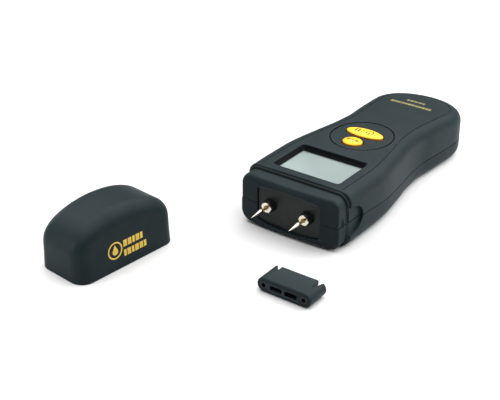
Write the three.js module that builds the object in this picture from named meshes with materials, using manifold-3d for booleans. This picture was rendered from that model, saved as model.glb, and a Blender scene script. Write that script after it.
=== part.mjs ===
// Two-pin moisture meter with its push-on cap and its pin block, as separate pieces. Millimetres, +Z up.
// The origin is on the flat of the back, halfway along the casing. The pins point to -Y, the tail is at +Y.
import * as THREE from "three";
import { ConvexGeometry } from "three/addons/geometries/ConvexGeometry.js";
import { mergeVertices } from "three/addons/utils/BufferGeometryUtils.js";
import Module from "manifold-3d";

const wasm = await Module();
wasm.setup();

// ---- Driving dimensions ----

const GAP = 0.3; // clearance between pieces that meet
const WALL = 2;

// Casing outline, seen from above: half widths along the length, then a rounded tail.
const COLLAR_Y = -66;
const TAIL_BEND_Y = 55;
const TAIL_Y = 80;
const HALF_WIDTHS = [
  [-90, 31.8],
  [-66, 32],
  [-50, 32.3],
  [-30, 32],
  [-10, 29],
  [5, 26.3],
  [20, 25.2],
  [33, 26.2],
  [45, 27.1],
  [TAIL_BEND_Y, 27.7],
];
const TAIL_SQUARENESS = 2.1;

// Casing height: the top slopes down a little towards the tail and is crowned across.
const TOP_AT_COLLAR = 31;
const TOP_SLOPE = -0.006;
const TAIL_DROP = 4.4; // how far the top falls away from the waist to the tip of the tail
const CROWN = 0.4;
const TOP_EDGE_RADIUS = 6.2;
const BOTTOM_EDGE_RADIUS = 7;

// Joint between the two half shells: high at the head, lower behind, level under the battery door.
const SPLIT_HEAD_Z = 14.3;
const SPLIT_REAR_Z = 11;
const SPLIT_BEND_Y = -50;
const DOOR_Y = 2;

// Head: the narrower end that the cap slides over.
const HEAD_HALF_WIDTH = 30;
const HEAD_BOTTOM = 0.9;
const HEAD_TOP = 29.3;
const HEAD_FRONT_Y = -75;
const HEAD_BULGE = 1.4;
const HEAD_TOP_RADIUS = 5.6;
const HEAD_BOTTOM_RADIUS = 7;
const HEAD_CORNER_RADIUS = 3;
const HEAD_WALL = 1.8;
const HEAD_CAVITY_Y = -73.2;

// A finger notch on each side of the collar, and an upright rib on each side of the head.
const NOTCH = { z: 15.2, length: 11.6, height: 8.1, floorX: 30.1 };
const RIB = { x: 30.6, y0: -70.7, y1: -69.6, z0: 11.4, z1: 18.6 };

// Pin plate and pins.
const PIN_HALF_SPACING = 11.55;
const PIN_Z = 15.2;
const PLATE_Y = -74.9;
const PLATE_HALF_WIDTH = 19.3;
const PLATE_SIDE_HALF_HEIGHT = 9.6;
const PLATE_BOW = 1.6;
const PLATE_CENTRE_Z = 14.4;
const COLLAR_FRONT_Y = -76.5;
const COLLAR_RADIUS = 3.7;
const NUT_FRONT_Y = -78.7;
const PIN_TIP_Y = -91.8;
const PIN_SHANK_RADIUS = 1.5;

// Display window.
const WINDOW_HALF_WIDTH = 20;
const WINDOW_FRONT_Y = -60;
const WINDOW_REAR_Y = -31.2;
const WINDOW_FLOOR_Z = 28.5;
const WINDOW_BEVEL = { side: 1.4, front: 0.6, rear: 2.5 };

// Push buttons: centre y, half axes of the oval, height of the rim and of the dome.
const BUTTONS = {
  power: { y: -1.2, a: 11.3, b: 5.1, rim: 31.6, dome: 0.9 },
  select: { y: -14.1, a: 5.7, b: 4.9, rim: 31.7, dome: 0.9 },
};
const BUTTON_CLEARANCE = 0.45;

// Circuit board, held to the top shell.
const BOARD_HALF_WIDTH = 21.5;
const BOARD_FRONT_Y = -63.3;
const BOARD_REAR_Y = 3.2;
const BOARD_Z = 19;
const BOARD_THICKNESS = 1.6;
const BOARD_TOP = BOARD_Z + BOARD_THICKNESS;

// Battery bay, open downwards, closed by the battery door.
const BAY_HALF_WIDTH = 17.2;
const BAY_FRONT_Y = 3.5;
const BAY_REAR_Y = 64;
const BAY_BOTTOM_Z = 2.6;
const BAY_TOP_Z = 21.6;
const BAY_WALL = 1.8;

// Screws.
const FRONT_SCREW = { x: 26.3, y: -58.5 };
const REAR_SCREW = { x: 20.2, y: 9.5 };
const BOARD_SCREW = { x: 18, y: -22.5 };

// Cap, standing on its open rim beside the meter.
const CAP_HALF_WIDTH = 31.7;
const CAP_HALF_DEPTH = 15.6;
const CAP_HEIGHT = 31;
const CAP_STRAIGHT = 13.9;
const CAP_ARCH_POWER = [1.95, 2.4];
const CAP_EDGE_RADIUS = 7.2;
const CAP_WALL = 1.5;
const CAP_PLACE = { x: -65.4, y: -141.1, turn: THREE.MathUtils.degToRad(83.5) };

// Pin block, lying in front of the meter.
const BLOCK_PLACE = { x: 31.65, y: -125.2 };
const BLOCK_HALF_HEIGHT = 3.9;
const BLOCK_DEPTH = 14.3;
const BLOCK_SLEEVE_DEPTH = 5;
const BLOCK_SLOT = { y: 7.4, inner: [10.9, 10.4], outer: [12, 13], shift: 0.4 };

// ---- Materials ----

const material = (color, roughness, metalness = 0) => () =>
  new THREE.MeshStandardMaterial({ color, roughness, metalness });
const casePlastic = material(0x2f383d, 0.62);
const darkPlastic = material(0x1c2022, 0.7);
const buttonPlastic = material(0xf6b21a, 0.4);
const clearPlastic = material(0xd5ddd8, 0.1);
const displayGlass = material(0xaebdb4, 0.3);
const boardGreen = material(0x1f5c38, 0.5);
const sealRubber = material(0x15181a, 0.85);
const nickel = material(0xcfc4a0, 0.3, 1);
const steel = material(0xc9ccd0, 0.25, 1);
const brass = material(0xc8a24a, 0.35, 1);
const batteryJacket = material(0x30343a, 0.4);
const foam = material(0x3b3b3b, 0.95);
const redWire = material(0xb02020, 0.5);
const blackWire = material(0x151515, 0.5);
const tinned = material(0xb9bcc0, 0.35, 1);

// ---- Geometry helpers ----

const group = new THREE.Group();

// A closed three.js geometry as a manifold solid.
function solid(geometry) {
  const bare = geometry.index ? geometry.toNonIndexed() : geometry.clone();
  bare.deleteAttribute("normal");
  bare.deleteAttribute("uv");
  const merged = mergeVertices(bare, 1e-4);
  const corners = merged.index.array;
  const kept = [];
  for (let i = 0; i < corners.length; i += 3) {
    const [a, b, c] = corners.slice(i, i + 3);
    if (a !== b && b !== c && c !== a) kept.push(a, b, c);
  }
  return new wasm.Manifold(
    new wasm.Mesh({
      numProp: 3,
      vertProperties: merged.attributes.position.array,
      triVerts: new Uint32Array(kept),
    }),
  );
}

function geometryOf(manifold) {
  const mesh = manifold.getMesh();
  const geometry = new THREE.BufferGeometry();
  geometry.setAttribute("position", new THREE.BufferAttribute(mesh.vertProperties, 3));
  geometry.setIndex(new THREE.BufferAttribute(mesh.triVerts, 1));
  const flat = geometry.toNonIndexed();
  flat.computeVertexNormals();
  return flat;
}

function add(name, shape, makeMaterial) {
  const geometry = shape.isBufferGeometry ? shape : geometryOf(shape);
  const mesh = new THREE.Mesh(geometry, makeMaterial());
  mesh.name = name;
  group.add(mesh);
  return mesh;
}

const union = (first, ...rest) => rest.reduce((sum, next) => sum.add(next), first);
const cut = (first, ...rest) => rest.reduce((sum, next) => sum.subtract(next), first);

// Boxes from their lowest and highest corners.
function box(x0, y0, z0, x1, y1, z1) {
  const geometry = new THREE.BoxGeometry(x1 - x0, y1 - y0, z1 - z0);
  return solid(geometry.translate((x0 + x1) / 2, (y0 + y1) / 2, (z0 + z1) / 2));
}

// A box on the right side of the casing, or its mirror image on the left.
const sideBox = (side, x0, y0, z0, x1, y1, z1) =>
  side > 0 ? box(x0, y0, z0, x1, y1, z1) : box(-x1, y0, z0, -x0, y1, z1);

function uprightRod(radius, x, y, z0, z1, sides = 16) {
  const geometry = new THREE.CylinderGeometry(radius, radius, z1 - z0, sides);
  return solid(geometry.rotateX(Math.PI / 2).translate(x, y, (z0 + z1) / 2));
}

function lengthwiseRod(radius, x, z, y0, y1, sides = 16) {
  const geometry = new THREE.CylinderGeometry(radius, radius, y1 - y0, sides);
  return solid(geometry.translate(x, (y0 + y1) / 2, z));
}

// Prisms: an outline in (x, y) raised along Z, one in (x, z) along Y, and one in (y, z) along X.
const extruded = (shape, depth, curveSegments) =>
  new THREE.ExtrudeGeometry(shape, { depth, bevelEnabled: false, curveSegments });

const prismZ = (shape, z0, z1, segments = 8) =>
  solid(extruded(shape, z1 - z0, segments).translate(0, 0, z0));

const prismY = (shape, y0, y1, segments = 8) =>
  solid(extruded(shape, y1 - y0, segments).rotateX(Math.PI / 2).translate(0, y1, 0));

function prismX(shape, x0, x1, segments = 10) {
  const turn = new THREE.Matrix4().makeBasis(
    new THREE.Vector3(0, 1, 0),
    new THREE.Vector3(0, 0, 1),
    new THREE.Vector3(1, 0, 0),
  );
  return solid(extruded(shape, x1 - x0, segments).applyMatrix4(turn).translate(x0, 0, 0));
}

const polygon = (points) => new THREE.Shape(points.map(([x, y]) => new THREE.Vector2(x, y)));

function ellipse(a, b, x = 0, y = 0) {
  const shape = new THREE.Shape();
  shape.absellipse(x, y, a, b, 0, 2 * Math.PI, false);
  return shape;
}

// A rectangle in (x, z) with its own corner radii at the top and at the bottom.
function roundedSection(halfWidth, bottom, top, topRadius, bottomRadius) {
  const shape = new THREE.Shape();
  const w = halfWidth;
  shape.moveTo(-w + bottomRadius, bottom);
  shape.lineTo(w - bottomRadius, bottom);
  shape.absarc(w - bottomRadius, bottom + bottomRadius, bottomRadius, -Math.PI / 2, 0, false);
  shape.absarc(w - topRadius, top - topRadius, topRadius, 0, Math.PI / 2, false);
  shape.absarc(-w + topRadius, top - topRadius, topRadius, Math.PI / 2, Math.PI, false);
  shape.absarc(-w + bottomRadius, bottom + bottomRadius, bottomRadius, Math.PI, 1.5 * Math.PI, false);
  return shape;
}

// A closed surface through rings of equally many points. Ring ends are closed by their own fill rings.
function loft(rings) {
  const positions = [];
  const count = rings[0].length;
  for (let k = 0; k + 1 < rings.length; k++) {
    for (let i = 0; i < count; i++) {
      const j = (i + 1) % count;
      const [a, b, c, d] = [rings[k][i], rings[k][j], rings[k + 1][j], rings[k + 1][i]];
      for (const p of [a, b, c, a, c, d]) positions.push(p.x, p.y, p.z);
    }
  }
  const geometry = new THREE.BufferGeometry();
  geometry.setAttribute("position", new THREE.Float32BufferAttribute(positions, 3));
  return solid(geometry);
}

// ---- Casing ----

// Half width at a place along the casing, smooth through the stations.
function halfWidth(y) {
  const last = HALF_WIDTHS.length - 1;
  let i = HALF_WIDTHS.findIndex(([station]) => y <= station);
  i = Math.min(Math.max(i, 1), last);
  const slope = (k) => {
    const before = HALF_WIDTHS[Math.max(k - 1, 0)];
    const after = HALF_WIDTHS[Math.min(k + 1, last)];
    return (after[1] - before[1]) / (after[0] - before[0]);
  };
  const [y0, w0] = HALF_WIDTHS[i - 1];
  const [y1, w1] = HALF_WIDTHS[i];
  const span = y1 - y0;
  const t = (y - y0) / span;
  const rise = t * t * (3 - 2 * t);
  const bend = t * (1 - t) * ((1 - t) * slope(i - 1) - t * slope(i));
  return w0 + (w1 - w0) * rise + span * bend;
}

// The outline seen from above, counter-clockwise from the front right corner.
function casingOutline() {
  const right = [];
  for (let y = -84; y <= TAIL_BEND_Y; y += 7.7222) right.push(new THREE.Vector2(halfWidth(y), y));
  const start = right.at(-1);
  const turns = 9;
  for (let k = 1; k < turns; k++) {
    const angle = (k / turns) * (Math.PI / 2);
    const x = start.x * Math.cos(angle) ** (2 / TAIL_SQUARENESS);
    right.push(new THREE.Vector2(x, start.y + (TAIL_Y - start.y) * Math.sin(angle)));
  }
  const left = right.map((p) => new THREE.Vector2(-p.x, p.y)).reverse();
  return [...right, new THREE.Vector2(0, TAIL_Y), ...left];
}

// The outline moved inwards by an amount, along its own normals.
function insetOutline(outline, amount) {
  return outline.map((p, i) => {
    if (i === 0) return new THREE.Vector2(p.x - amount, p.y);
    if (i === outline.length - 1) return new THREE.Vector2(p.x + amount, p.y);
    const along = outline[i + 1].clone().sub(outline[i - 1]).normalize();
    return new THREE.Vector2(p.x - along.y * amount, p.y + along.x * amount);
  });
}

// Height of the edge of the top panel.
function topLevel(y) {
  const tail = Math.max(0, y) / TAIL_Y;
  return TOP_AT_COLLAR + TOP_SLOPE * (y - COLLAR_Y) - TAIL_DROP * tail * tail;
}

// The casing as a solid, with all its walls moved inwards by an amount.
function casing(offset) {
  const outline = casingOutline();
  const topZ = (y) => topLevel(y) - offset;
  const topRadius = TOP_EDGE_RADIUS - offset;
  const bottomRadius = BOTTOM_EDGE_RADIUS - offset;
  const rings = [];
  const ring = (inset, height, spread = 1) => {
    const points = insetOutline(outline, offset + inset);
    rings.push(points.map((p) => new THREE.Vector3(p.x * spread, p.y, height(p.y))));
  };
  const steps = 3;
  ring(bottomRadius, () => offset, 0);
  for (let k = 0; k <= steps; k++) {
    const angle = (k / steps) * (Math.PI / 2);
    const height = offset + bottomRadius * (1 - Math.cos(angle));
    ring(bottomRadius * (1 - Math.sin(angle)), () => height);
  }
  for (let k = 0; k <= steps; k++) {
    const angle = (k / steps) * (Math.PI / 2);
    ring(topRadius * (1 - Math.cos(angle)), (y) => topZ(y) - topRadius * (1 - Math.sin(angle)));
  }
  for (const spread of [0.6, 0]) {
    ring(topRadius, (y) => topZ(y) + CROWN * (1 - spread * spread), spread);
  }
  return loft(rings);
}

// The plan of the head: straight sides, rounded corners and a bulged front.
function headPlan(inset) {
  const w = HEAD_HALF_WIDTH - inset;
  const radius = HEAD_CORNER_RADIUS;
  const shape = new THREE.Shape();
  const cornerY = HEAD_FRONT_Y + radius;
  shape.moveTo(w, -55);
  shape.lineTo(-w, -55);
  shape.lineTo(-w, cornerY);
  shape.quadraticCurveTo(-w, HEAD_FRONT_Y, -w + radius, HEAD_FRONT_Y - 0.2);
  shape.quadraticCurveTo(0, HEAD_FRONT_Y - 2 * HEAD_BULGE + 0.2, w - radius, HEAD_FRONT_Y - 0.2);
  shape.quadraticCurveTo(w, HEAD_FRONT_Y, w, cornerY);
  return shape;
}

const headSection = (inset) =>
  roundedSection(
    HEAD_HALF_WIDTH - inset,
    HEAD_BOTTOM + inset,
    HEAD_TOP - inset,
    HEAD_TOP_RADIUS - inset,
    HEAD_BOTTOM_RADIUS - inset,
  );

// The barrel-shaped outline of the pin plate, in (x, z), moved outwards by an amount.
function plateOutline(outset) {
  const w = PLATE_HALF_WIDTH + outset;
  const h = PLATE_SIDE_HALF_HEIGHT + outset;
  const c = PLATE_CENTRE_Z;
  const r = 1.6;
  const shape = new THREE.Shape();
  shape.moveTo(w, c - h + r);
  shape.lineTo(w, c + h - r);
  shape.quadraticCurveTo(w, c + h, w - r, c + h + 0.15);
  shape.quadraticCurveTo(0, c + h + 2 * PLATE_BOW - 0.15, -w + r, c + h + 0.15);
  shape.quadraticCurveTo(-w, c + h, -w, c + h - r);
  shape.lineTo(-w, c - h + r);
  shape.quadraticCurveTo(-w, c - h, -w + r, c - h - 0.15);
  shape.quadraticCurveTo(0, c - h - 2 * PLATE_BOW + 0.15, w - r, c - h - 0.15);
  shape.quadraticCurveTo(w, c - h, w, c - h + r);
  return shape;
}

const behind = (y) => box(-60, y, -10, 60, 100, 60);

function casingShell() {
  const head = prismY(headSection(0), -80, -60).intersect(prismZ(headPlan(0), -5, 40));
  const body = casing(0).intersect(behind(COLLAR_Y));
  const bodyCavity = casing(WALL).intersect(behind(COLLAR_Y + HEAD_WALL));
  const headCavity = prismY(headSection(HEAD_WALL), HEAD_CAVITY_Y, -58);
  let shell = cut(union(body, head), bodyCavity, headCavity);
  shell = cut(shell, prismY(plateOutline(0), -85, -70));
  for (const side of [-1, 1]) {
    // A finger notch beside the collar, with a thicker wall behind it.
    const { z, length, height, floorX } = NOTCH;
    const pad = sideBox(side, floorX - 2.3, COLLAR_Y + 0.5, 4.5, floorX + 0.9, COLLAR_Y + 14, 26);
    const ends = side > 0 ? [floorX, 40] : [-40, -floorX];
    const notch = prismX(ellipse(length, height, COLLAR_Y, z), ...ends);
    const rib = sideBox(side, HEAD_HALF_WIDTH - 0.5, RIB.y0, RIB.z0, RIB.x, RIB.y1, RIB.z1);
    shell = cut(shell.add(pad.intersect(casing(0.5))), notch.intersect(behind(COLLAR_Y - 0.01)));
    shell = shell.add(rib);
  }
  return shell;
}

// Everything above, or below, the joint between the two half shells.
function splitSide(above) {
  const lift = (above ? GAP : -GAP) / 2;
  const far = above ? 60 : -20;
  const points = [
    [-100, far],
    [-100, SPLIT_HEAD_Z + lift],
    [SPLIT_BEND_Y, SPLIT_HEAD_Z + lift],
    [DOOR_Y, SPLIT_REAR_Z + lift],
    [100, SPLIT_REAR_Z + lift],
    [100, far],
  ];
  return prismX(polygon(above ? points.reverse() : points), -60, 60);
}

const screwPlaces = ({ x, y }) => [
  ["left", -x, y],
  ["right", x, y],
];

const shell = casingShell();

function topCase() {
  let piece = shell.intersect(splitSide(true));
  const rim = box(-22, -61.6, WINDOW_FLOOR_Z, 22, -30.4, 29.8);
  const bosses = [];
  const pilots = [];
  for (const [, x, y] of screwPlaces(FRONT_SCREW)) {
    bosses.push(uprightRod(3, x, y, SPLIT_HEAD_Z + GAP / 2, 29.5));
    pilots.push(uprightRod(1.4, x, y, 5, 26, 12));
  }
  for (const [, x, y] of screwPlaces(REAR_SCREW)) {
    bosses.push(uprightRod(2.6, x, y, SPLIT_REAR_Z + GAP / 2, 28.8));
    pilots.push(uprightRod(1.4, x, y, 5, 26, 12));
  }
  for (const [, x, y] of screwPlaces(BOARD_SCREW)) {
    bosses.push(uprightRod(2.5, x, y, BOARD_TOP + GAP, 29.2));
    pilots.push(uprightRod(1.2, x, y, 5, 27, 12));
  }
  const corner = (x, y, z) => new THREE.Vector3(x, y, z);
  const [w, y0, y1] = [WINDOW_HALF_WIDTH, WINDOW_FRONT_Y, WINDOW_REAR_Y];
  const { side, front, rear } = WINDOW_BEVEL;
  const [low, high] = [WINDOW_FLOOR_Z - 0.5, TOP_AT_COLLAR + 1];
  const window = solid(
    new ConvexGeometry([
      ...[corner(-w, y0, high), corner(w, y0, high), corner(w, y1, high), corner(-w, y1, high)],
      ...[corner(side - w, y0 + front, low), corner(w - side, y0 + front, low)],
      ...[corner(w - side, y1 - rear, low), corner(side - w, y1 - rear, low)],
    ]),
  );
  piece = cut(union(piece, rim, ...bosses), window, ...pilots);
  for (const { y, a, b } of Object.values(BUTTONS)) {
    const hole = ellipse(a + BUTTON_CLEARANCE, b + BUTTON_CLEARANCE, 0, y);
    piece = cut(piece, prismZ(hole, 25, 35, 9));
  }
  return piece;
}

function bottomCase() {
  const front = cut(shell.intersect(splitSide(false)), behind(DOOR_Y - GAP / 2));
  const joint = SPLIT_REAR_Z - GAP / 2;
  const bulkhead = union(
    box(-28, -1, 1, 28, DOOR_Y - GAP, joint).intersect(casing(1)),
    box(-28, 0, 1, 28, BAY_FRONT_Y + 0.5, joint).intersect(casing(WALL + 0.4)),
  );
  const [w, y0, y1] = [BAY_HALF_WIDTH, BAY_FRONT_Y, BAY_REAR_Y];
  const outer = box(-w, y0, BAY_BOTTOM_Z, w, y1, BAY_TOP_Z);
  const inner = box(BAY_WALL - w, y0 + BAY_WALL, -1, w - BAY_WALL, y1 - BAY_WALL, BAY_TOP_Z - 1.4);
  const ears = [-1, 1].map((side) => {
    const { x, y } = REAR_SCREW;
    const tab = sideBox(side, 0.75 * x, y - 4, joint - 2, x, y + 4, joint);
    return union(tab, uprightRod(3, side * x, y, joint - 2, joint));
  });
  const frontBosses = screwPlaces(FRONT_SCREW).map(([, x, y]) =>
    uprightRod(3.4, x, y, 1.4, SPLIT_HEAD_Z - GAP / 2).intersect(casing(0.5)),
  );
  let piece = union(front, bulkhead, outer, ...ears, ...frontBosses);
  piece = cut(piece, inner, box(-8, y0 - 1, 12, 8, y0 + 3, 17.5));
  for (const [, x, y] of screwPlaces(FRONT_SCREW)) {
    piece = cut(piece, uprightRod(2.7, x, y, -1, 8), uprightRod(1.6, x, y, -1, 20, 12));
  }
  for (const [, x, y] of screwPlaces(REAR_SCREW)) {
    piece = cut(piece, uprightRod(1.6, x, y, -1, 20, 12));
  }
  return piece;
}

function batteryDoor() {
  const skin = shell.intersect(splitSide(false)).intersect(behind(DOOR_Y + GAP / 2));
  const grip = [0, 1, 2, 3].map((k) => box(-9, 58 + 2.2 * k, -1, 9, 59 + 2.2 * k, 0.5));
  return cut(skin, ...grip);
}

add("top_case", topCase(), casePlastic);
add("bottom_case", bottomCase(), casePlastic);
add("battery_door", batteryDoor(), casePlastic);

// The seal ring round the root of the head, which the rim of the cap meets.
function headSeal() {
  const outer = prismY(headSection(-1.3), COLLAR_Y - 1.5, COLLAR_Y - GAP);
  return cut(outer, prismY(headSection(-GAP / 2), COLLAR_Y - 3, COLLAR_Y + 1));
}
add("head_seal", headSeal(), sealRubber);

// ---- Pins ----

function pinPlate() {
  const face = prismY(plateOutline(-0.25), PLATE_Y, HEAD_CAVITY_Y + GAP + 0.2);
  const cavity = prismY(headSection(HEAD_WALL + GAP), -80, -60);
  const flange = prismY(plateOutline(0.9), HEAD_CAVITY_Y + GAP, HEAD_CAVITY_Y + GAP + 1.4).intersect(cavity);
  const holes = [-1, 1].map((side) => lengthwiseRod(1.9, side * PIN_HALF_SPACING, PIN_Z, -80, -65));
  return cut(union(face, flange), ...holes);
}
add("pin_plate", pinPlate(), darkPlastic);

// Round bodies along Y: a profile of [radius, y] pairs turned about the pin's line.
function turned(profile, x, z, sides = 12) {
  const points = profile.map(([radius, y]) => new THREE.Vector2(radius, y));
  return solid(new THREE.LatheGeometry(points, sides).translate(x, 0, z));
}

function hexNut(x, z, y0, y1, acrossFlats) {
  const corner = acrossFlats / Math.sqrt(3);
  const nut = solid(
    new THREE.CylinderGeometry(corner, corner, y1 - y0, 6).translate(x, (y0 + y1) / 2, z),
  );
  const chamfer = turned(
    [
      [0, y0],
      [acrossFlats / 2, y0],
      [corner + 0.2, y0 + 0.45],
      [corner + 0.2, y1],
      [0, y1],
    ],
    x,
    z,
    18,
  );
  return cut(nut.intersect(chamfer), lengthwiseRod(1.8, x, z, y0 - 1, y1 + 1));
}

for (const [side, x] of [
  ["left", -PIN_HALF_SPACING],
  ["right", PIN_HALF_SPACING],
]) {
  const collar = turned(
    [
      [1.8, COLLAR_FRONT_Y],
      [COLLAR_RADIUS - 0.5, COLLAR_FRONT_Y],
      [COLLAR_RADIUS, COLLAR_FRONT_Y + 0.5],
      [COLLAR_RADIUS, PLATE_Y - 0.1],
      [1.8, PLATE_Y - 0.1],
      [1.8, COLLAR_FRONT_Y],
    ],
    x,
    PIN_Z,
    20,
  );
  add(`pin_collar_${side}`, collar, darkPlastic);
  add(`hex_nut_${side}`, hexNut(x, PIN_Z, NUT_FRONT_Y, COLLAR_FRONT_Y - 0.1, 5.5), nickel);
  const pin = turned(
    [
      [0, PIN_TIP_Y],
      [0.12, PIN_TIP_Y + 0.15],
      [0.75, -86.5],
      [1.3, -82.6],
      [1.3, -82],
      [0.95, -81.6],
      [0.95, -79.9],
      [PIN_SHANK_RADIUS, -79.4],
      [PIN_SHANK_RADIUS, -67.4],
      [0, -67.4],
    ],
    x,
    PIN_Z,
  );
  add(`probe_pin_${side}`, pin, steel);
  add(`terminal_nut_${side}`, hexNut(x, PIN_Z, -71.2, -69.2, 5.5), brass);
  const tag = cut(
    union(lengthwiseRod(3.1, x, PIN_Z, -69, -68.4), box(x - 1.2, -69, PIN_Z, x + 1.2, -68.4, PIN_Z + 6)),
    lengthwiseRod(1.8, x, PIN_Z, -72, -65),
  );
  add(`solder_tag_${side}`, tag, tinned);
}

// ---- Wires: a smooth tube through a few points ----

function wire(points, radius) {
  const curve = new THREE.CatmullRomCurve3(points.map((p) => new THREE.Vector3(...p)));
  const settings = { steps: 12, bevelEnabled: false, extrudePath: curve, curveSegments: 2 };
  return solid(new THREE.ExtrudeGeometry(ellipse(radius, radius), settings));
}

for (const [side, x] of [
  ["left", -PIN_HALF_SPACING],
  ["right", PIN_HALF_SPACING],
]) {
  const route = [
    [x, -67.7, 20.6],
    [x, -66.3, 19.2],
    [x, -64.6, 17.2],
    [x, -62, 16.6],
    [x, -60, 17.2],
    [x, -59.2, 18.3],
  ];
  add(`pin_wire_${side}`, wire(route, 0.6), blackWire);
}

for (const [name, x, colour] of [
  ["battery_wire_red", -5.5, redWire],
  ["battery_wire_black", 5.5, blackWire],
]) {
  const route = [
    [x, 7.6, 13.4],
    [x, 5.8, 14],
    [x, 3.6, 14.8],
    [x, 1, 15.6],
    [x, -1, 16.8],
    [x, -1.6, 18.3],
  ];
  add(name, wire(route, 0.65), colour);
}

// ---- Display ----

add("display_lens", box(-22.6, -62.2, 27.3, 22.6, -29.6, WINDOW_FLOOR_Z - 0.2), clearPlastic);
add("display_glass", box(-20.3, -60.4, 24.9, 20.3, -31.2, 27), displayGlass);
const holderFrame = box(-22.3, -62, BOARD_TOP + GAP, 22.3, -29.8, 27);
const glassSeat = box(-20.6, -60.7, 22, 20.6, -30.9, 30);
const holderWell = box(-19, -60.7, 20, 19, -32.5, 24);
add("display_holder", cut(holderFrame, glassSeat, holderWell), darkPlastic);
add("contact_strip", box(-17.5, -60.2, BOARD_TOP + GAP, 17.5, -57.8, 24.6), sealRubber);

// ---- Circuit board and what it carries ----

function circuitBoard() {
  let board = box(-BOARD_HALF_WIDTH, BOARD_FRONT_Y, BOARD_Z, BOARD_HALF_WIDTH, BOARD_REAR_Y, BOARD_TOP);
  for (const [, x, y] of screwPlaces(BOARD_SCREW)) board = cut(board, uprightRod(1.3, x, y, 15, 25, 12));
  return board;
}
add("circuit_board", circuitBoard(), boardGreen);

const underBoard = BOARD_Z - 0.2;
add("main_chip", box(-6, -50, underBoard - 1.6, 6, -38, underBoard), darkPlastic);
add("crystal_can", box(-14, -36, underBoard - 3.4, -10, -26, underBoard), tinned);
add("smoothing_capacitor", uprightRod(3.1, 11, -30, underBoard - 8, underBoard, 16), batteryJacket);
add("trimmer", box(8, -52, underBoard - 4, 14, -46, underBoard), buttonPlastic);

for (const [name, { y, a, b, rim, dome }] of Object.entries(BUTTONS)) {
  const base = box(-3, y - 3, BOARD_TOP + 0.2, 3, y + 3, BOARD_TOP + 3.6);
  const plunger = uprightRod(1.7, 0, y, BOARD_TOP + 3.4, BOARD_TOP + 4.6, 12);
  add(`${name}_switch`, union(base, plunger), darkPlastic);

  const profile = [
    [0, 27],
    [1, 27],
    [1, rim - 0.4],
    [0.97, rim],
    [0.86, rim + 0.45 * dome],
    [0.62, rim + 0.8 * dome],
    [0.32, rim + 0.96 * dome],
    [0, rim + dome],
  ];
  const cap = new THREE.LatheGeometry(
    profile.map(([radius, z]) => new THREE.Vector2(radius, z)),
    28,
  );
  const domed = solid(cap.rotateX(Math.PI / 2).scale(a, b, 1).translate(0, y, 0));
  const flange = prismZ(ellipse(a + 1.5, b + 0.9, 0, y), 26.9, 27.8, 8);
  const stem = uprightRod(1.7, 0, y, BOARD_TOP + 5.5, 27.2, 12);
  add(`${name}_button`, union(domed, flange, stem), buttonPlastic);
}

// ---- Battery ----

function battery() {
  const can = box(-13.1, 12.5, 2.9, 13.1, 58.7, 19.8);
  const stud = (x, radius) => lengthwiseRod(radius, x, 11.3, 10.3, 12.7, 14);
  return union(can, stud(-6.4, 2.9), stud(6.4, 3.9));
}
add("battery_9v", battery(), batteryJacket);
add("battery_snap", box(-12.6, 7.9, 5.6, 12.6, 9.9, 17), blackWire);
add("battery_foam", box(-12, 59, 4, 12, 61.8, 18.6), foam);

// ---- Screws ----

function panScrew(x, y, headZ, length, radius) {
  const profile = [
    [0, headZ],
    [2.3, headZ],
    [2.3, headZ + 1.2],
    [1.9, headZ + 1.7],
    [radius, headZ + 1.7],
    [radius, headZ + length - 1.4],
    [0, headZ + length],
  ];
  const points = profile.map(([r, z]) => new THREE.Vector2(r, z));
  const geometry = new THREE.LatheGeometry(points, 10).rotateX(Math.PI / 2).translate(x, y, 0);
  const slotWidth = 0.35;
  const body = solid(geometry);
  const cross = [
    box(x - 1.3, y - slotWidth, headZ - 1, x + 1.3, y + slotWidth, headZ + 0.8),
    box(x - slotWidth, y - 1.3, headZ - 1, x + slotWidth, y + 1.3, headZ + 0.8),
  ];
  return cut(body, ...cross);
}

for (const [side, x, y] of screwPlaces(FRONT_SCREW)) {
  add(`front_screw_${side}`, panScrew(x, y, 6, 17, 1.2), steel);
}
for (const [side, x, y] of screwPlaces(REAR_SCREW)) {
  add(`rear_screw_${side}`, panScrew(x, y, 6.8, 16, 1.2), steel);
}
for (const [side, x, y] of screwPlaces(BOARD_SCREW)) {
  add(`board_screw_${side}`, panScrew(x, y, 17.1, 8.5, 1), steel);
}

// ---- Cap ----

// The arch of the cap, in (u, z), with everything moved inwards by an amount.
function archPoint(angle, inset) {
  const [across, up] = CAP_ARCH_POWER;
  const w = CAP_HALF_WIDTH - inset;
  const rise = CAP_HEIGHT - inset - CAP_STRAIGHT;
  const cos = Math.cos(angle);
  const x = w * Math.sign(cos) * Math.abs(cos) ** (2 / across);
  return [x, CAP_STRAIGHT + rise * Math.sin(angle) ** (2 / up)];
}

// The cap's outside, or its hollow, lofted from face to face. The fill rings close each face.
function capBody(offset, floorZ) {
  const steps = 18;
  const radius = CAP_EDGE_RADIUS - offset;
  const half = CAP_HALF_DEPTH - offset;
  const rings = [];
  const ring = (inset, v, fill = false) => {
    const low = CAP_STRAIGHT * 0.8;
    const arch = [];
    for (let k = 0; k <= steps; k++) arch.push(archPoint((k / steps) * Math.PI, offset + inset));
    const upper = arch.map(([x, z]) => new THREE.Vector3(x, v, fill ? low : z));
    const lower = arch.map(([x]) => new THREE.Vector3(x, v, fill ? low : floorZ)).reverse();
    const points = [...upper, ...lower];
    rings.push(points);
  };
  ring(radius, half, true);
  const turns = 4;
  for (let k = 0; k <= turns; k++) {
    const angle = (k / turns) * (Math.PI / 2);
    ring(radius * (1 - Math.sin(angle)), half - radius * (1 - Math.cos(angle)));
  }
  for (let k = turns; k >= 0; k--) {
    const angle = (k / turns) * (Math.PI / 2);
    ring(radius * (1 - Math.sin(angle)), radius * (1 - Math.cos(angle)) - half);
  }
  ring(radius, -half, true);
  return loft(rings);
}

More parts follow.
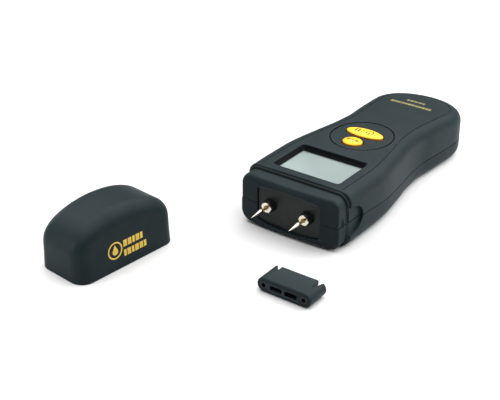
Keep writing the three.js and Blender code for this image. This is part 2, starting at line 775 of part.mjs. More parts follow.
const cap = add("cap_shell", cut(capBody(0, 0), capBody(CAP_WALL, -3)), casePlastic);
cap.position.set(CAP_PLACE.x, CAP_PLACE.y, 0);
cap.rotation.z = CAP_PLACE.turn;

// ---- Pin block ----

// A slot on each side opens towards the rear and leaves a broad tongue between two side prongs.
function blockSlot(side) {
  const { y, inner, outer, shift } = BLOCK_SLOT;
  const rear = BLOCK_DEPTH + 1;
  const corners = [
    [inner[0], y],
    [outer[0], y],
    [outer[1], rear],
    [inner[1], rear],
  ];
  const plan = corners.map(([x, depth]) => [side * x + shift, depth]);
  return prismZ(polygon(plan), -1, 2 * BLOCK_HALF_HEIGHT + 1);
}

function pinBlock() {
  const h = BLOCK_HALF_HEIGHT;
  const end = PIN_HALF_SPACING;
  const outline = new THREE.Shape();
  outline.moveTo(-end, 0);
  outline.lineTo(end, 0);
  outline.absarc(end, h, h, -Math.PI / 2, Math.PI / 2, false);
  outline.lineTo(-end, 2 * h);
  outline.absarc(-end, h, h, Math.PI / 2, 1.5 * Math.PI, false);
  const cutters = [-1, 1].flatMap((side) => [
    sideBox(side, 0.9, -1, 2.7, 7.6, 9, 5.1),
    lengthwiseRod(2.4, side * end, h, -1, BLOCK_SLEEVE_DEPTH),
    lengthwiseRod(1.5, side * end, h, -1, BLOCK_DEPTH + 1, 12),
    blockSlot(side),
  ]);
  return cut(prismY(outline, 0, BLOCK_DEPTH, 6), ...cutters);
}

const block = new THREE.Group();
block.position.set(BLOCK_PLACE.x, BLOCK_PLACE.y, 0);
group.add(block);
block.add(add("pin_block", pinBlock(), casePlastic));
for (const [side, x] of [
  ["left", -PIN_HALF_SPACING],
  ["right", PIN_HALF_SPACING],
]) {
  const sleeve = turned(
    [
      [1.25, 0.1],
      [2.2, 0.1],
      [2.2, BLOCK_SLEEVE_DEPTH - 0.2],
      [1.25, BLOCK_SLEEVE_DEPTH - 0.2],
      [1.25, 0.1],
    ],
    x,
    BLOCK_HALF_HEIGHT,
  );
  block.add(add(`block_sleeve_${side}`, sleeve, darkPlastic));
}

export default group;
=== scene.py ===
"""Looks of a two-pin moisture meter, its cap and its pin block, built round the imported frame.

Lengths are in millimetres up to the point where a mesh is made. The pins point to -Y, the tail is at +Y.
"""

from math import acos, asin, ceil, cos, dist, hypot, inf, pi, radians, sin, sqrt

import bmesh
import bpy
import numpy as np
from mathutils import Matrix, Vector
from mathutils.geometry import area_tri, delaunay_2d_cdt


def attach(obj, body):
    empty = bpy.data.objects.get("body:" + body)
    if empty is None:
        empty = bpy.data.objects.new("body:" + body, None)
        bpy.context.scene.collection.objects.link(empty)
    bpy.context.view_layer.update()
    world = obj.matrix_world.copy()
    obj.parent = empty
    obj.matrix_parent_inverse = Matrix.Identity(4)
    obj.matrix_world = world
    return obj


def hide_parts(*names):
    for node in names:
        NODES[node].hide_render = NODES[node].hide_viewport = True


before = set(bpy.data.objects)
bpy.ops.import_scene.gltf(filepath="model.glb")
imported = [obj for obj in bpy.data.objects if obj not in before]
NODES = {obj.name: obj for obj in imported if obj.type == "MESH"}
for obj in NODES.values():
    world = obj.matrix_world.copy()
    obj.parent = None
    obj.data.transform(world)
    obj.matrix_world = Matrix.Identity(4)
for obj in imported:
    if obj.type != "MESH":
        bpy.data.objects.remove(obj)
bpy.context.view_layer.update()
MM = 0.001
MERGE = 0.004 * MM
SLIVER = 1e-5  # square millimetres

# ---- Driving dimensions, within a millimetre of the frame's ----

COLLAR_Y = -66
TAIL_BEND_Y = 55
TAIL_Y = 80
HALF_WIDTHS = [(-90, 31.8), (-66, 32), (-50, 32.3), (-30, 32), (-10, 29), (5, 26.3), (20, 25.2), (33, 26.2),
               (45, 27.1), (TAIL_BEND_Y, 27.7)]  # (y, half width)
TAIL_SQUARENESS = 2.1
TOP_AT_COLLAR = 31
TOP_SLOPE = -0.006
TAIL_DROP = 4.4  # how far the top falls away from the waist to the tip of the tail
CROWN = 0.4
TOP_RADIUS = 6.2
BOTTOM_RADIUS = 6.6
WALL = 2

SPLIT_HEAD_Z = 14.3
SPLIT_REAR_Z = 11
SPLIT_BEND_Y = -50
DOOR_Y = 2
DOOR_CORNER = 3

HEAD_HALF_WIDTH = 30
HEAD_STEP = 0.4  # how much wider the lower half of the head is
HEAD_BOTTOM = 0.9
HEAD_TOP = 29.3
HEAD_FRONT_Y = -75
HEAD_BULGE = 1.4
HEAD_TOP_RADIUS = 5.6
HEAD_BOTTOM_RADIUS = 6

PLATE_HALF_WIDTH = 19.3
PLATE_SIDE_HALF_HEIGHT = 9.6
PLATE_BOW = 1.6
PLATE_CENTRE_Z = 14.4
PLATE_CORNER = 1.6
RECESS_FLOOR_Y = -73.7

NOTCH_Z = 15.2
NOTCH_LENGTH = 11.6
NOTCH_HEIGHT = 8.1
NOTCH_FLOOR_X = 30.6
NOTCH_EDGE = [(0.2, 0), (0.12, 0.02), (0.06, 0.06), (0.02, 0.13), (0, 0.25)]  # (outside its outline, depth)
NOTCH_FOOT = [(-0.1, 0.3), (-0.15, 0.12), (-0.25, 0.03), (-0.4, 0)]  # (outside its outline, above the floor)

WINDOW_HALF_WIDTH = 20.6
WINDOW_Y = (-60.5, -31.2)
WINDOW_FLOOR_Z = 28.2
WINDOW_CORNER = 2.1
WINDOW_BEVEL = {"front": 0.6, "rear": 2.2, "sides": 1.5}
BUTTONS = {
    "power": {"y": -1.2, "a": 11.3, "b": 5.1, "rim": 31.6, "dome": 0.9},
    "select": {"y": -14.1, "a": 5.7, "b": 4.9, "rim": 31.7, "dome": 0.9},
}
BUTTON_CLEARANCE = 0.45
DISC = {"y": -4.1, "a": 17.4, "b": 18.8}

# Small details that only the looks have.
SEAM = 0.25  # rounding of the edges that meet at a joint line
SEAM_GAP = 0.32
COLLAR_EDGE = 0.8
PANEL_LINE = 6.75  # how far the fine line on top runs inside the outline
FRONT_EDGE_Y = COLLAR_Y + COLLAR_EDGE
NOTCH_PATCH_Y = -50
INNER_FRONT_Y = -64
NOTCH_ROOM = 2.2  # how much further in the inside lies beside the finger notches
DOOR_GAP = 0.22


def spread(start, end, count):
    """Evenly spaced numbers, both ends included."""
    return [start + (end - start) * k / count for k in range(count + 1)]


def mix(a, b, t):
    return a + (b - a) * t


def mirrored(line):
    """A line's mirror image in x = 0, in reverse order."""
    return [(-x, *rest) for x, *rest in line[::-1]]


# ---- Mesh making ----


def inside(loops, points):
    """Whether each 2-D point is inside the first loop and outside its holes."""
    crossings = np.zeros(len(points), int)
    points = np.asarray(points, float).reshape(-1, 2)
    x, y = points[:, 0], points[:, 1]
    for loop in loops:
        ends = np.asarray(loop, float)
        for (x0, y0), (x1, y1) in zip(ends, np.roll(ends, -1, axis=0)):
            if y0 == y1:
                continue
            spans = (y0 > y) != (y1 > y)
            crossings += spans & (x < x0 + (y - y0) * (x1 - x0) / (y1 - y0))
    return crossings % 2 == 1


def rim_distance(loops, point):
    """How far a 2-D point is from the nearest edge of the loops."""
    nearest = inf
    for loop in loops:
        starts = np.asarray(loop, float)
        along = np.roll(starts, -1, axis=0) - starts
        share = ((point - starts) * along).sum(axis=1) / np.maximum((along**2).sum(axis=1), 1e-9)
        foot = starts + along * np.clip(share, 0, 1)[:, None]
        nearest = min(nearest, np.hypot(*(foot - point).T).min())
    return nearest


def add_object(name, data):
    made = bpy.data.objects.new(name, data)
    bpy.context.scene.collection.objects.link(made)
    return made


class Shape:
    """Points and faces in millimetres, which become one mesh."""

    def __init__(self):
        self.points = []
        self.faces = []
        self.paint = []

    def strip(self, rows, closed=False, paint=0):
        """Quads between rows that have equally many points."""
        first, count = len(self.points), len(rows[0])
        for row in rows:
            self.points.extend(Vector(p) for p in row)
        for r in range(len(rows) - 1):
            a = first + r * count
            b = a + count
            for c in range(count if closed else count - 1):
                d = (c + 1) % count
                self.faces.append((a + c, a + d, b + d, b + c))
                self.paint.append(paint)
        return self

    def strip_with_painted_shade(self, rows, split, closed=True):
        """A strip that is painted dark from one of its rows on, as painted shade in a recess or gap."""
        return self.strip(rows[: split + 1], closed).strip(rows[split:], closed, paint=1)

    def patch(self, loops, axes=(0, 1), lift=None, spacing=0):
        """Triangles that fill a loop of 3-D points, less its holes, laid out along two axes."""
        i, j = axes
        flat = [[(p[i], p[j]) for p in loop] for loop in loops]
        corners = [Vector(p) for loop in loops for p in loop]
        plan = [Vector(p) for loop in flat for p in loop]
        edges, first = [], 0
        for loop in flat:
            edges += [(first + k, first + (k + 1) % len(loop)) for k in range(len(loop))]
            first += len(loop)
        if spacing:
            low, high = np.min(flat[0], axis=0), np.max(flat[0], axis=0)
            steps = [np.arange(a + spacing / 2, b, spacing) for a, b in zip(low, high)]
            grid = np.array(np.meshgrid(*steps)).reshape(2, -1).T
            grid = grid[inside(flat, grid)]
            plan += [Vector(g) for g in grid if rim_distance(flat, g) > 0.4 * spacing]
        made, _, faces, origins, _, _ = delaunay_2d_cdt(plan, edges, [], 0, 1e-6)
        start = len(self.points)
        for p, origin in zip(made, origins):
            known = [k for k in origin if k < len(corners)]
            self.points.append(corners[known[0]] if known else Vector(lift(*p)))
        middles = [sum((made[k] for k in f), Vector((0, 0))) / len(f) for f in faces]
        for f, kept in zip(faces, inside(flat, [tuple(m) for m in middles])):
            if kept and area_tri(*[made[k] for k in f[:3]]) > SLIVER:
                self.faces.append(tuple(start + k for k in f))
                self.paint.append(0)
        return self

    def cap(self, loop):
        """One face over a flat convex loop."""
        start = len(self.points)
        self.points.extend(Vector(p) for p in loop)
        self.faces.append(tuple(range(start, start + len(loop))))
        self.paint.append(0)
        return self

    def mirror(self):
        """Adds the same again on the other side of x = 0."""
        first = len(self.points)
        self.points += [Vector((-p.x, p.y, p.z)) for p in self.points]
        self.faces += [tuple(first + k for k in reversed(f)) for f in self.faces]
        self.paint += self.paint
        return self

    def move(self, matrix):
        self.points = [matrix @ p for p in self.points]
        return self

    def mesh(self, name):
        mesh = bpy.data.meshes.new(name)
        mesh.from_pydata([tuple(p * MM) for p in self.points], [], self.faces)
        mesh.polygons.foreach_set("material_index", self.paint)
        work = bmesh.new()
        work.from_mesh(mesh)
        bmesh.ops.remove_doubles(work, verts=work.verts, dist=MERGE)
        bmesh.ops.recalc_face_normals(work, faces=work.faces)
        work.to_mesh(mesh)
        work.free()
        return mesh

    def piece(self, name, material, *replaces, body="casing", sharp=35):
        """The finished object, riding on a body of the frame in place of the CAD nodes named."""
        piece = add_object(name, self.mesh(name))
        piece.data.materials.append(material)
        # Faces painted 1 take the near-black material, as painted shade in recesses and gaps.
        if any(self.paint):
            piece.data.materials.append(DARK_AND_SHADE)
        piece.data.shade_smooth()
        piece.data.set_sharp_from_angle(angle=radians(sharp))
        piece.modifiers.new("normals", "WEIGHTED_NORMAL").keep_sharp = True
        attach(piece, body)
        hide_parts(*replaces)
        return piece


def carve(piece, cutters, operation="DIFFERENCE"):
    """Cuts shapes out of a piece's mesh, or joins them to it."""
    for cutter in cutters:
        tool = add_object("cutter", cutter.mesh("cutter"))
        boolean = piece.modifiers.new("carve", "BOOLEAN")
        boolean.object = tool
        boolean.operation = operation
        boolean.solver = "EXACT"
        bpy.context.view_layer.update()
        graph = bpy.context.evaluated_depsgraph_get()
        mesh = bpy.data.meshes.new_from_object(piece.evaluated_get(graph))
        piece.modifiers.remove(boolean)
        piece.data = mesh
        bpy.data.objects.remove(tool)
    return piece


def turned(profile, sides=48):
    """A body turned about Y from [radius, y] pairs that start and end on the axis or meet."""
    rows = []
    for radius, y in profile:
        angles = [2 * pi * k / sides for k in range(sides)]
        rows.append([(radius * cos(a), y, radius * sin(a)) for a in angles])
    return Shape().strip(rows, closed=True)


def rounded_loop(half_x, half_y, radius, steps=6):
    """A rounded rectangle about the origin, counter-clockwise."""
    loop = []
    for k, (sx, sy) in enumerate([(1, 1), (-1, 1), (-1, -1), (1, -1)]):
        for a in spread(k * pi / 2, (k + 1) * pi / 2, steps):
            x = sx * (half_x - radius) + radius * cos(a)
            loop.append((x, sy * (half_y - radius) + radius * sin(a)))
    return loop


def oval(a, b, sides=72):
    turns = [2 * pi * k / sides for k in range(sides)]
    return [(a * cos(t), b * sin(t)) for t in turns]


# ---- Outline of the casing ----


def half_width(y):
    """Half width at a place along the casing, smooth through the stations."""
    last = len(HALF_WIDTHS) - 1
    i = next((k for k, (station, _) in enumerate(HALF_WIDTHS) if y <= station), last)
    i = min(max(i, 1), last)

    def slope(k):
        (ya, wa), (yb, wb) = HALF_WIDTHS[max(k - 1, 0)], HALF_WIDTHS[min(k + 1, last)]
        return (wb - wa) / (yb - ya)

    (y0, w0), (y1, w1) = HALF_WIDTHS[i - 1], HALF_WIDTHS[i]
    span = y1 - y0
    t = (y - y0) / span
    bend = t * (1 - t) * ((1 - t) * slope(i - 1) - t * slope(i))
    return mix(w0, w1, t * t * (3 - 2 * t)) + span * bend


def side_x(y, inset):
    """Where the outline, moved inwards, crosses a given y."""
    lean = (half_width(y + 0.1) - half_width(y - 0.1)) / 0.2
    return half_width(y) - inset * hypot(1, lean)


def tail_point(angle, inset):
    """A point of the round tail, moved inwards along its normal."""
    w, length = half_width(TAIL_BEND_Y), TAIL_Y - TAIL_BEND_Y
    power = 2 / TAIL_SQUARENESS
    if angle > pi / 2 - 1e-6:
        return 0.0, TAIL_Y - inset
    c, s = cos(angle), sin(angle)
    x, y = w * c**power, TAIL_BEND_Y + length * s
    dx, dy = power * w * c ** (power - 1) * s, length * c
    long = hypot(dx, dy)
    return x - inset * dy / long, y - inset * dx / long


TAIL_ANGLES = [pi / 2 * (1 - (1 - k / 26) ** 1.35) for k in range(1, 27)]


def outline(ys, inset, tail=True):
    """The right half of the outline, moved inwards, through the given places."""
    line = [(side_x(y, inset), y) for y in ys]
    if tail:
        line += [tail_point(a, inset) for a in TAIL_ANGLES]
    return line


def split_z(y):
    t = min(max((y - SPLIT_BEND_Y) / (DOOR_Y - SPLIT_BEND_Y), 0), 1)
    return mix(SPLIT_HEAD_Z, SPLIT_REAR_Z, t)


def rim_z(y):
    """Height of the edge of the top panel."""
    return TOP_AT_COLLAR + TOP_SLOPE * (y - COLLAR_Y) - TAIL_DROP * (max(0, y) / TAIL_Y) ** 2


def top_z(x, y):
    """Height of the crowned top panel."""
    across = abs(x) / (half_width(min(y, TAIL_BEND_Y)) - TOP_RADIUS)
    along = max(0, y - TAIL_BEND_Y) / (TAIL_Y - TAIL_BEND_Y - TOP_RADIUS)
    out = (across**TAIL_SQUARENESS + along**TAIL_SQUARENESS) ** (1 / TAIL_SQUARENESS)
    return rim_z(y) + CROWN * (1 - min(out, 1) ** 2)


def quarter(count):
    """Sines and cosines of a quarter turn, for rounded edges."""
    return [(sin(t), cos(t)) for t in spread(0, pi / 2, count)]


# ---- Half shells ----


class HalfShell:
    """The upper or the lower half of the casing, outside and inside, right half first."""

    def __init__(self, up):
        self.up = up
        self.sign = 1 if up else -1
        self.shape = Shape()
        self.radius = TOP_RADIUS if up else BOTTOM_RADIUS

    def seam(self, y, rise=0):
        """Height above or below the joint line."""
        return split_z(y) + self.sign * (SEAM_GAP / 2 + rise)

    def level(self, y, thickness=0):
        """Height of the flat, or of its inside."""
        return (rim_z(y) if self.up else 0) - self.sign * thickness

    def row(self, ys, inset, height, tail, inner=False):
        """A line round the shell. Inside, it leaves room for the finger notches."""
        line = []
        for x, y in outline(ys, inset, tail):
            room = min(max((NOTCH_PATCH_Y - y) / 3, 0), 1) if inner else 0
            line.append((x - NOTCH_ROOM * room, y, height(y)))
        return line

    def edge_rows(self, ys, tail, wall=0, steps=8):
        """From the straight side round to the flat. wall is how far inside the skin they lie."""
        radius = self.radius - wall
        rows = []
        for s, c in quarter(steps):
            inset, drop = wall + radius * (1 - c), self.sign * radius * (1 - s)
            rows.append(self.row(ys, inset, lambda y: self.level(y, wall) - drop, tail, wall > 0))
        return rows


def notch_rows(shell):
    """The finger notch beside the collar: its rounded edge, its steep wall and the floor's edge."""
    sign = shell.sign
    seam = shell.seam(COLLAR_Y, SEAM)
    rows = []
    for out, depth in NOTCH_EDGE + NOTCH_FOOT:
        a, b = NOTCH_LENGTH + out, NOTCH_HEIGHT + out
        first = asin((seam - NOTCH_Z) / b)
        last = sign * acos((FRONT_EDGE_Y - COLLAR_Y) / a)
        arc = []
        for t in spread(first, last, 24):
            y = COLLAR_Y + a * cos(t)
            x = half_width(y) - depth if out >= 0 else NOTCH_FLOOR_X + depth
            arc.append((x, y, NOTCH_Z + b * sin(t)))
        rows.append(arc)
    return rows


CORNER_STEPS = 10
FLAT_STEPS = 10


def head_section(up):
    """The head's section from the joint line to its middle: points and inward normals in (x, z)."""
    sign = 1 if up else -1
    radius = HEAD_TOP_RADIUS if up else HEAD_BOTTOM_RADIUS
    flat = HEAD_TOP if up else HEAD_BOTTOM
    w = HEAD_HALF_WIDTH + (0 if up else HEAD_STEP)
    seam = SPLIT_HEAD_Z + sign * SEAM_GAP / 2
    points = [(w - SEAM, seam), (w - 0.3 * SEAM, seam + sign * 0.3 * SEAM), (w, seam + sign * SEAM)]
    normals = [(-1, 0)] * 3
    centre = (w - radius, flat - sign * radius)
    points.append((w, mix(points[-1][1], centre[1], 0.5)))
    normals.append((-1, 0))
    for s, c in quarter(CORNER_STEPS):
        points.append((centre[0] + radius * c, centre[1] + sign * radius * s))
        normals.append((-c, -sign * s))
    for x in spread(centre[0], 0, FLAT_STEPS)[1:]:
        points.append((x, flat))
        normals.append((0, -sign))
    return points, normals


def barrel(up, out):
    """The outline of the plate's recess, with as many points as the head's section."""
    sign = 1 if up else -1
    w, h, r = PLATE_HALF_WIDTH, PLATE_SIDE_HALF_HEIGHT, PLATE_CORNER
    seam = SPLIT_HEAD_Z + sign * SEAM_GAP / 2
    levels = [seam, seam + sign * 0.3 * SEAM, seam + sign * SEAM]
    corner = PLATE_CENTRE_Z + sign * (h - r)
    points = [(w + out, z) for z in [*levels, mix(levels[-1], corner, 0.5)]]
    for s, c in quarter(CORNER_STEPS):
        points.append((w - r + (r + out) * c, corner + sign * (r + out) * s))
    for x in spread(w - r, 0, FLAT_STEPS)[1:]:
        bow = PLATE_BOW * (1 - (x / (w - r)) ** 2)
        points.append((x, corner + sign * (r + out + bow)))
    return points


def front_y(x):
    """The bulged front of the head."""
    return HEAD_FRONT_Y - HEAD_BULGE * (1 - (x / (HEAD_HALF_WIDTH - 2)) ** 2)


def add_head(shell):
    """Adds the head, from the collar to the floor of the plate's recess. Returns its seam line."""
    section, normals = head_section(shell.up)
    top_extra = 1.9 if shell.up else 1.2
    radii = [0.9 + top_extra * abs(n[1]) for n in normals]
    rows = [[(x, y, z) for x, z in section] for y in (COLLAR_Y, COLLAR_Y - 4)]

    def inset(amounts, depths):
        row = []
        for (x, z), (nx, nz), amount, depth in zip(section, normals, amounts, depths):
            px = x + nx * amount
            row.append((px, front_y(px) + depth, z + nz * amount))
        return row

    for s, c in quarter(8):
        rows.append(inset([r * (1 - c) for r in radii], [r * (1 - s) for r in radii]))
    edge = [(x, z) for x, _, z in rows[-1]]
    rim = barrel(shell.up, 0.3)
    for t in (0.25, 0.5, 0.75, 1):
        face = [(mix(a[0], b[0], t), mix(a[1], b[1], t)) for a, b in zip(edge, rim)]
        rows.append([(x, front_y(x), z) for x, z in face])
    for out, depth in [(0.12, 0.05), (0.03, 0.14), (0, 0.3)]:
        rows.append([(x, front_y(x) + depth, z) for x, z in barrel(shell.up, out)])
    floor = [(x, RECESS_FLOOR_Y, z) for x, z in barrel(shell.up, 0)]
    rows.append(floor)
    shell.shape.strip(rows)
    seam = floor[0][2]
    shell.shape.strip([floor, [(x, y, seam) for x, y, _ in floor]])
    return [row[0] for row in rows] + [(x, y, seam) for x, y, _ in floor[1:]]


def tangents(line, i, j):
    """The direction of a line at each of its points, along two axes."""
    made = []
    for k in range(len(line)):
        a, b = line[max(k - 1, 0)], line[min(k + 1, len(line) - 1)]
        di, dj = b[i] - a[i], b[j] - a[j]
        long = hypot(di, dj) or 1
        made.append((di / long, dj / long))
    return made


def add_collar_face(shell, section, weights):
    """The rounded front edge of the casing and the flat face behind the head."""
    normals = [(-shell.sign * dz, shell.sign * dx) for dx, dz in tangents(section, 0, 2)]
    rows = []
    for s, c in quarter(4):
        row = []
        for p, n, weight in zip(section, normals, weights):
            amount = COLLAR_EDGE * weight * (1 - c)
            row.append((max(p[0] + n[0] * amount, 0), FRONT_EDGE_Y - COLLAR_EDGE * s, p[2] + n[1] * amount))
        row[-1] = (0, row[-1][1], row[-1][2])
        rows.append(row)
    shell.shape.strip(rows)
    head = [(x, COLLAR_Y, z) for x, z in head_section(shell.up)[0]]
    shell.shape.patch([rows[-1] + head[::-1]], axes=(0, 2))
    return [row[0] for row in rows]


def add_front(shell, seams, front_line, corner):
    """The front edge and the head. corner runs from the front line to the middle of the flat.
    Returns the two seam lines."""
    section = [seams[2][0], seams[1][0], *front_line]
    weights = [0] * (len(section) - 5) + spread(0.1, 0.9, 4) + [1] * len(corner)
    collar = add_collar_face(shell, section + corner, weights)
    return collar, add_head(shell)


def add_joint_face(shell, head, collar, seam, inner):
    """The flat of the joint, between the outside and the inside."""
    corner = (0, INNER_FRONT_Y, inner[0][2])
    loop = [*head[::-1], *collar[:0:-1], *seam, *inner[::-1], corner]
    shell.shape.patch([loop], lift=lambda x, y: (x, y, shell.seam(y)))


def add_notch(shell, edge_row, column):
    """The notch, the side wall round it, and its floor. Returns the seam line and the front line.
    column holds the wall's points where this patch ends, between the joint line and the edge row."""
    rows = notch_rows(shell)
    shape = shell.shape
    shape.strip(rows)
    seam_z = shell.seam(COLLAR_Y, SEAM)
    start_y = rows[0][0][1]
    lower = [(half_width(y), y, seam_z) for y in spread(start_y, NOTCH_PATCH_Y, 3)[1:]]
    upper = [p for p in edge_row if p[1] <= NOTCH_PATCH_Y + 1e-6][::-1]
    wall = [rows[0][0], *lower, *column, *upper, *rows[0][:0:-1]]
    shape.patch([wall], (1, 2), lambda y, z: (half_width(y), y, z), 2.5)
    floor_y = rows[-1][0][1]
    floor = [(NOTCH_FLOOR_X, y, seam_z) for y in spread(FRONT_EDGE_Y, floor_y, 5)[:-1]]
    top_front = rows[-1][-1]
    front = [(NOTCH_FLOOR_X, FRONT_EDGE_Y, mix(seam_z, top_front[2], t)) for t in (0.33, 0.66)]
    shape.patch([[*floor, *rows[-1], *front[::-1]]], (1, 2), lambda y, z: (NOTCH_FLOOR_X, y, z), 2.5)
    seam_line = floor + [row[0] for row in rows[::-1]] + lower
    front_line = [floor[0], *front] + [row[-1] for row in rows[::-1]]
    return seam_line, front_line


def add_seam(shell, line):
    """Rounds the edge along the joint line. Returns its rows, the sharp end last."""
    rows = [line]
    for inset, rise in [(0.3 * SEAM, 0.3 * SEAM), (SEAM, 0)]:
        row = []
        for (x, y, _), (dx, dy) in zip(line, tangents(line, 0, 1)):
            nx, ny = (-1, 0) if y < NOTCH_PATCH_Y + 1 else (-dy, dx)
            if x < 1e-6:
                nx, ny = 0, -1
            row.append((x + nx * inset, y + ny * inset, shell.seam(y + ny * inset, rise)))
        rows.append(row)
    # The joint side of this rounding is painted dark: painted shade in the gap between the halves.
    shell.shape.strip_with_painted_shade(rows, 1, closed=False)
    return rows


FRONT_YS = spread(FRONT_EDGE_Y, NOTCH_PATCH_Y, 7)
REAR_YS = spread(NOTCH_PATCH_Y, TAIL_BEND_Y, 50)[1:]


def top_case():
    shell = HalfShell(True)
    shape = shell.shape
    ys = FRONT_YS + REAR_YS
    edge = shell.edge_rows(ys, True)
    shape.strip(edge)

    # The fine line that runs round the top, inside the soft shoulder.
    line = [edge[-1]]
    for inset, depth in [(-0.4, 0), (-0.26, 0.04), (-0.15, 0.35), (0.15, 0.35), (0.26, 0.04), (0.4, 0)]:
        plan = outline(ys, PANEL_LINE + inset)
        line.append([(x, y, top_z(x, y) - depth * min(1, y - FRONT_EDGE_Y)) for x, y in plan])
    shape.strip(line)

    seam_line, front_line = add_notch(shell, edge[0], [])
    rear = shell.row([NOTCH_PATCH_Y, *REAR_YS], 0, lambda y: shell.seam(y, SEAM), True)
    shape.strip([rear, edge[0][len(FRONT_YS) - 1 :]])
    seams = add_seam(shell, seam_line + rear[1:])

    # The front edge at the collar, from the joint line to the middle of the top.
    levels = spread(side_x(FRONT_EDGE_Y, PANEL_LINE + 0.4), 0, 12)
    middle = [(x, FRONT_EDGE_Y, top_z(x, FRONT_EDGE_Y)) for x in levels[1:]]
    collar, head = add_front(shell, seams, front_line, [row[0] for row in [*edge, *line[1:]]] + middle)

    # Inside, and the flat of the joint between outside and inside.
    inner_ys = [INNER_FRONT_Y, *ys[1:]]
    lining = [shell.row(inner_ys, WALL, shell.seam, True, True)]
    lining += shell.edge_rows(inner_ys, True, WALL, 4)
    shape.strip(lining)
    ceiling_middle = (0, INNER_FRONT_Y, lining[-1][0][2])
    wall = [row[0] for row in lining] + [ceiling_middle, (0, INNER_FRONT_Y, lining[0][0][2])]
    shape.patch([wall], axes=(0, 2))
    add_joint_face(shell, head, collar, seams[2], lining[0])
    shape.mirror()

    window = window_rows()
    disc = []
    for out, depth in DISC_GROOVE:
        disc.append(on_top(shifted(oval(DISC["a"] + out, DISC["b"] + out, 120), 0, DISC["y"]), depth))
    holes = [button_hole(**spec) for spec in BUTTONS.values()]
    panel = line[-1] + mirrored(line[-1][:-1]) + mirrored(middle[-2::-1]) + middle[::-1]
    shape.patch([panel, window[0], disc[0]], lift=lambda x, y: (x, y, top_z(x, y)), spacing=3)
    # The groove round the buttons is painted dark in its deep rows: painted shade in the groove.
    shape.strip_with_painted_shade(disc, 1)
    disc_loops = [disc[-1], *[rows[0] for rows in holes]]
    shape.patch(disc_loops, lift=lambda x, y: (x, y, top_z(x, y) - DISC_DEPTH), spacing=3)
    # The window's walls are painted dark below the rounded edge: painted shade in the recess.
    shape.strip_with_painted_shade(window, 2)
    # The walls of the button holes are painted dark: painted shade round the buttons.
    for rows in holes:
        shape.strip_with_painted_shade(rows, 3)
    ceiling = lining[-1] + mirrored(lining[-1][:-1]) + [ceiling_middle]
    openings = [window[-1], *[rows[-1] for rows in holes]]
    return shape.patch([ceiling, *openings], lift=lambda x, y: (x, y, shell.level(y, WALL)), spacing=8)


DISC_DEPTH = 0.12
# Edges on the top, as (how far outside the outline, depth).
DISC_GROOVE = [(0.4, 0), (0.28, 0.04), (0.2, 0.6), (-0.35, 0.6), (-0.5, 0.16), (-0.62, DISC_DEPTH)]
HOLE_EDGE = [(0.45, 0), (0.27, 0.03), (0.13, 0.12), (0.03, 0.27), (0, 0.45)]
WINDOW_EDGE = [(0.6, 0), (0.3, 0.05), (0, 0.18), (-0.2, 0.38), (-0.3, 0.65)]


def on_top(loop, depth):
    """A plan outline laid on the top, or sunk into it."""
    return [(x, y, top_z(x, y) - depth) for x, y in loop]


def button_hole(y, a, b, **_):
    """A button's hole: its rounded edge, and the wall down to the inside of the top."""
    rows = []
    for out, depth in HOLE_EDGE:
        wide = BUTTON_CLEARANCE + out
        rows.append(on_top(shifted(oval(a + wide, b + wide), 0, y), DISC_DEPTH + depth))
    return rows + [[(u, v, rim_z(v) - WALL) for u, v, _ in rows[-1]]]


def window_rows():
    """The window's rounded edge and its bevelled walls, down to the inside of the top."""
    front, rear = WINDOW_Y
    rows = []
    for out, depth in WINDOW_EDGE:
        loop = rounded_loop(WINDOW_HALF_WIDTH + out, (rear - front) / 2 + out, WINDOW_CORNER + out)
        rows.append(on_top(shifted(loop, 0, (front + rear) / 2), depth))
    front, rear = front + WINDOW_BEVEL["front"], rear - WINDOW_BEVEL["rear"]
    floor = rounded_loop(WINDOW_HALF_WIDTH - WINDOW_BEVEL["sides"], (rear - front) / 2, 0.8)
    return rows + [[(x, y, WINDOW_FLOOR_Z) for x, y in shifted(floor, 0, (rear + front) / 2)]]


# ---- Lower shell and battery door ----

WALL_SHARES = [0.12, 0.25, 0.4, 0.55, 0.75]  # rows of the side wall, from the joint line down
FLAT_SHARES = [0.75, 0.5, 0.25, 0]


def door_seam(z):
    """Where the door's front edge is at a height: straight up the side, then a rounded corner."""
    rise = max(0, z - (SPLIT_REAR_Z - DOOR_CORNER))
    return DOOR_Y + DOOR_CORNER - sqrt(max(DOOR_CORNER**2 - rise**2, 0))


def tray_rows(shell, ys_at, wall, tail):
    """Rows of the outside or the inside of a lower piece, from the joint line to the middle of the flat."""
    low = BOTTOM_RADIUS

    def wall_row(inset, share, rise=0):
        ys = ys_at(mix(SPLIT_REAR_Z, low, share))
        return shell.row(ys, wall + inset, lambda y: mix(shell.seam(y, rise), low, share), tail, wall > 0)

    tight = 0 if wall else 1
    rows = [wall_row(SEAM * tight, 0), wall_row(0.3 * SEAM * tight, 0, 0.3 * SEAM)]
    rows += [wall_row(0, 0, SEAM)] + [wall_row(0, share) for share in WALL_SHARES]
    rows += shell.edge_rows(ys_at(low), tail, wall, 8)
    flat = rows[-1]
    rows += [[(x * share, y, z) for x, y, z in flat] for share in FLAT_SHARES]
    return rows


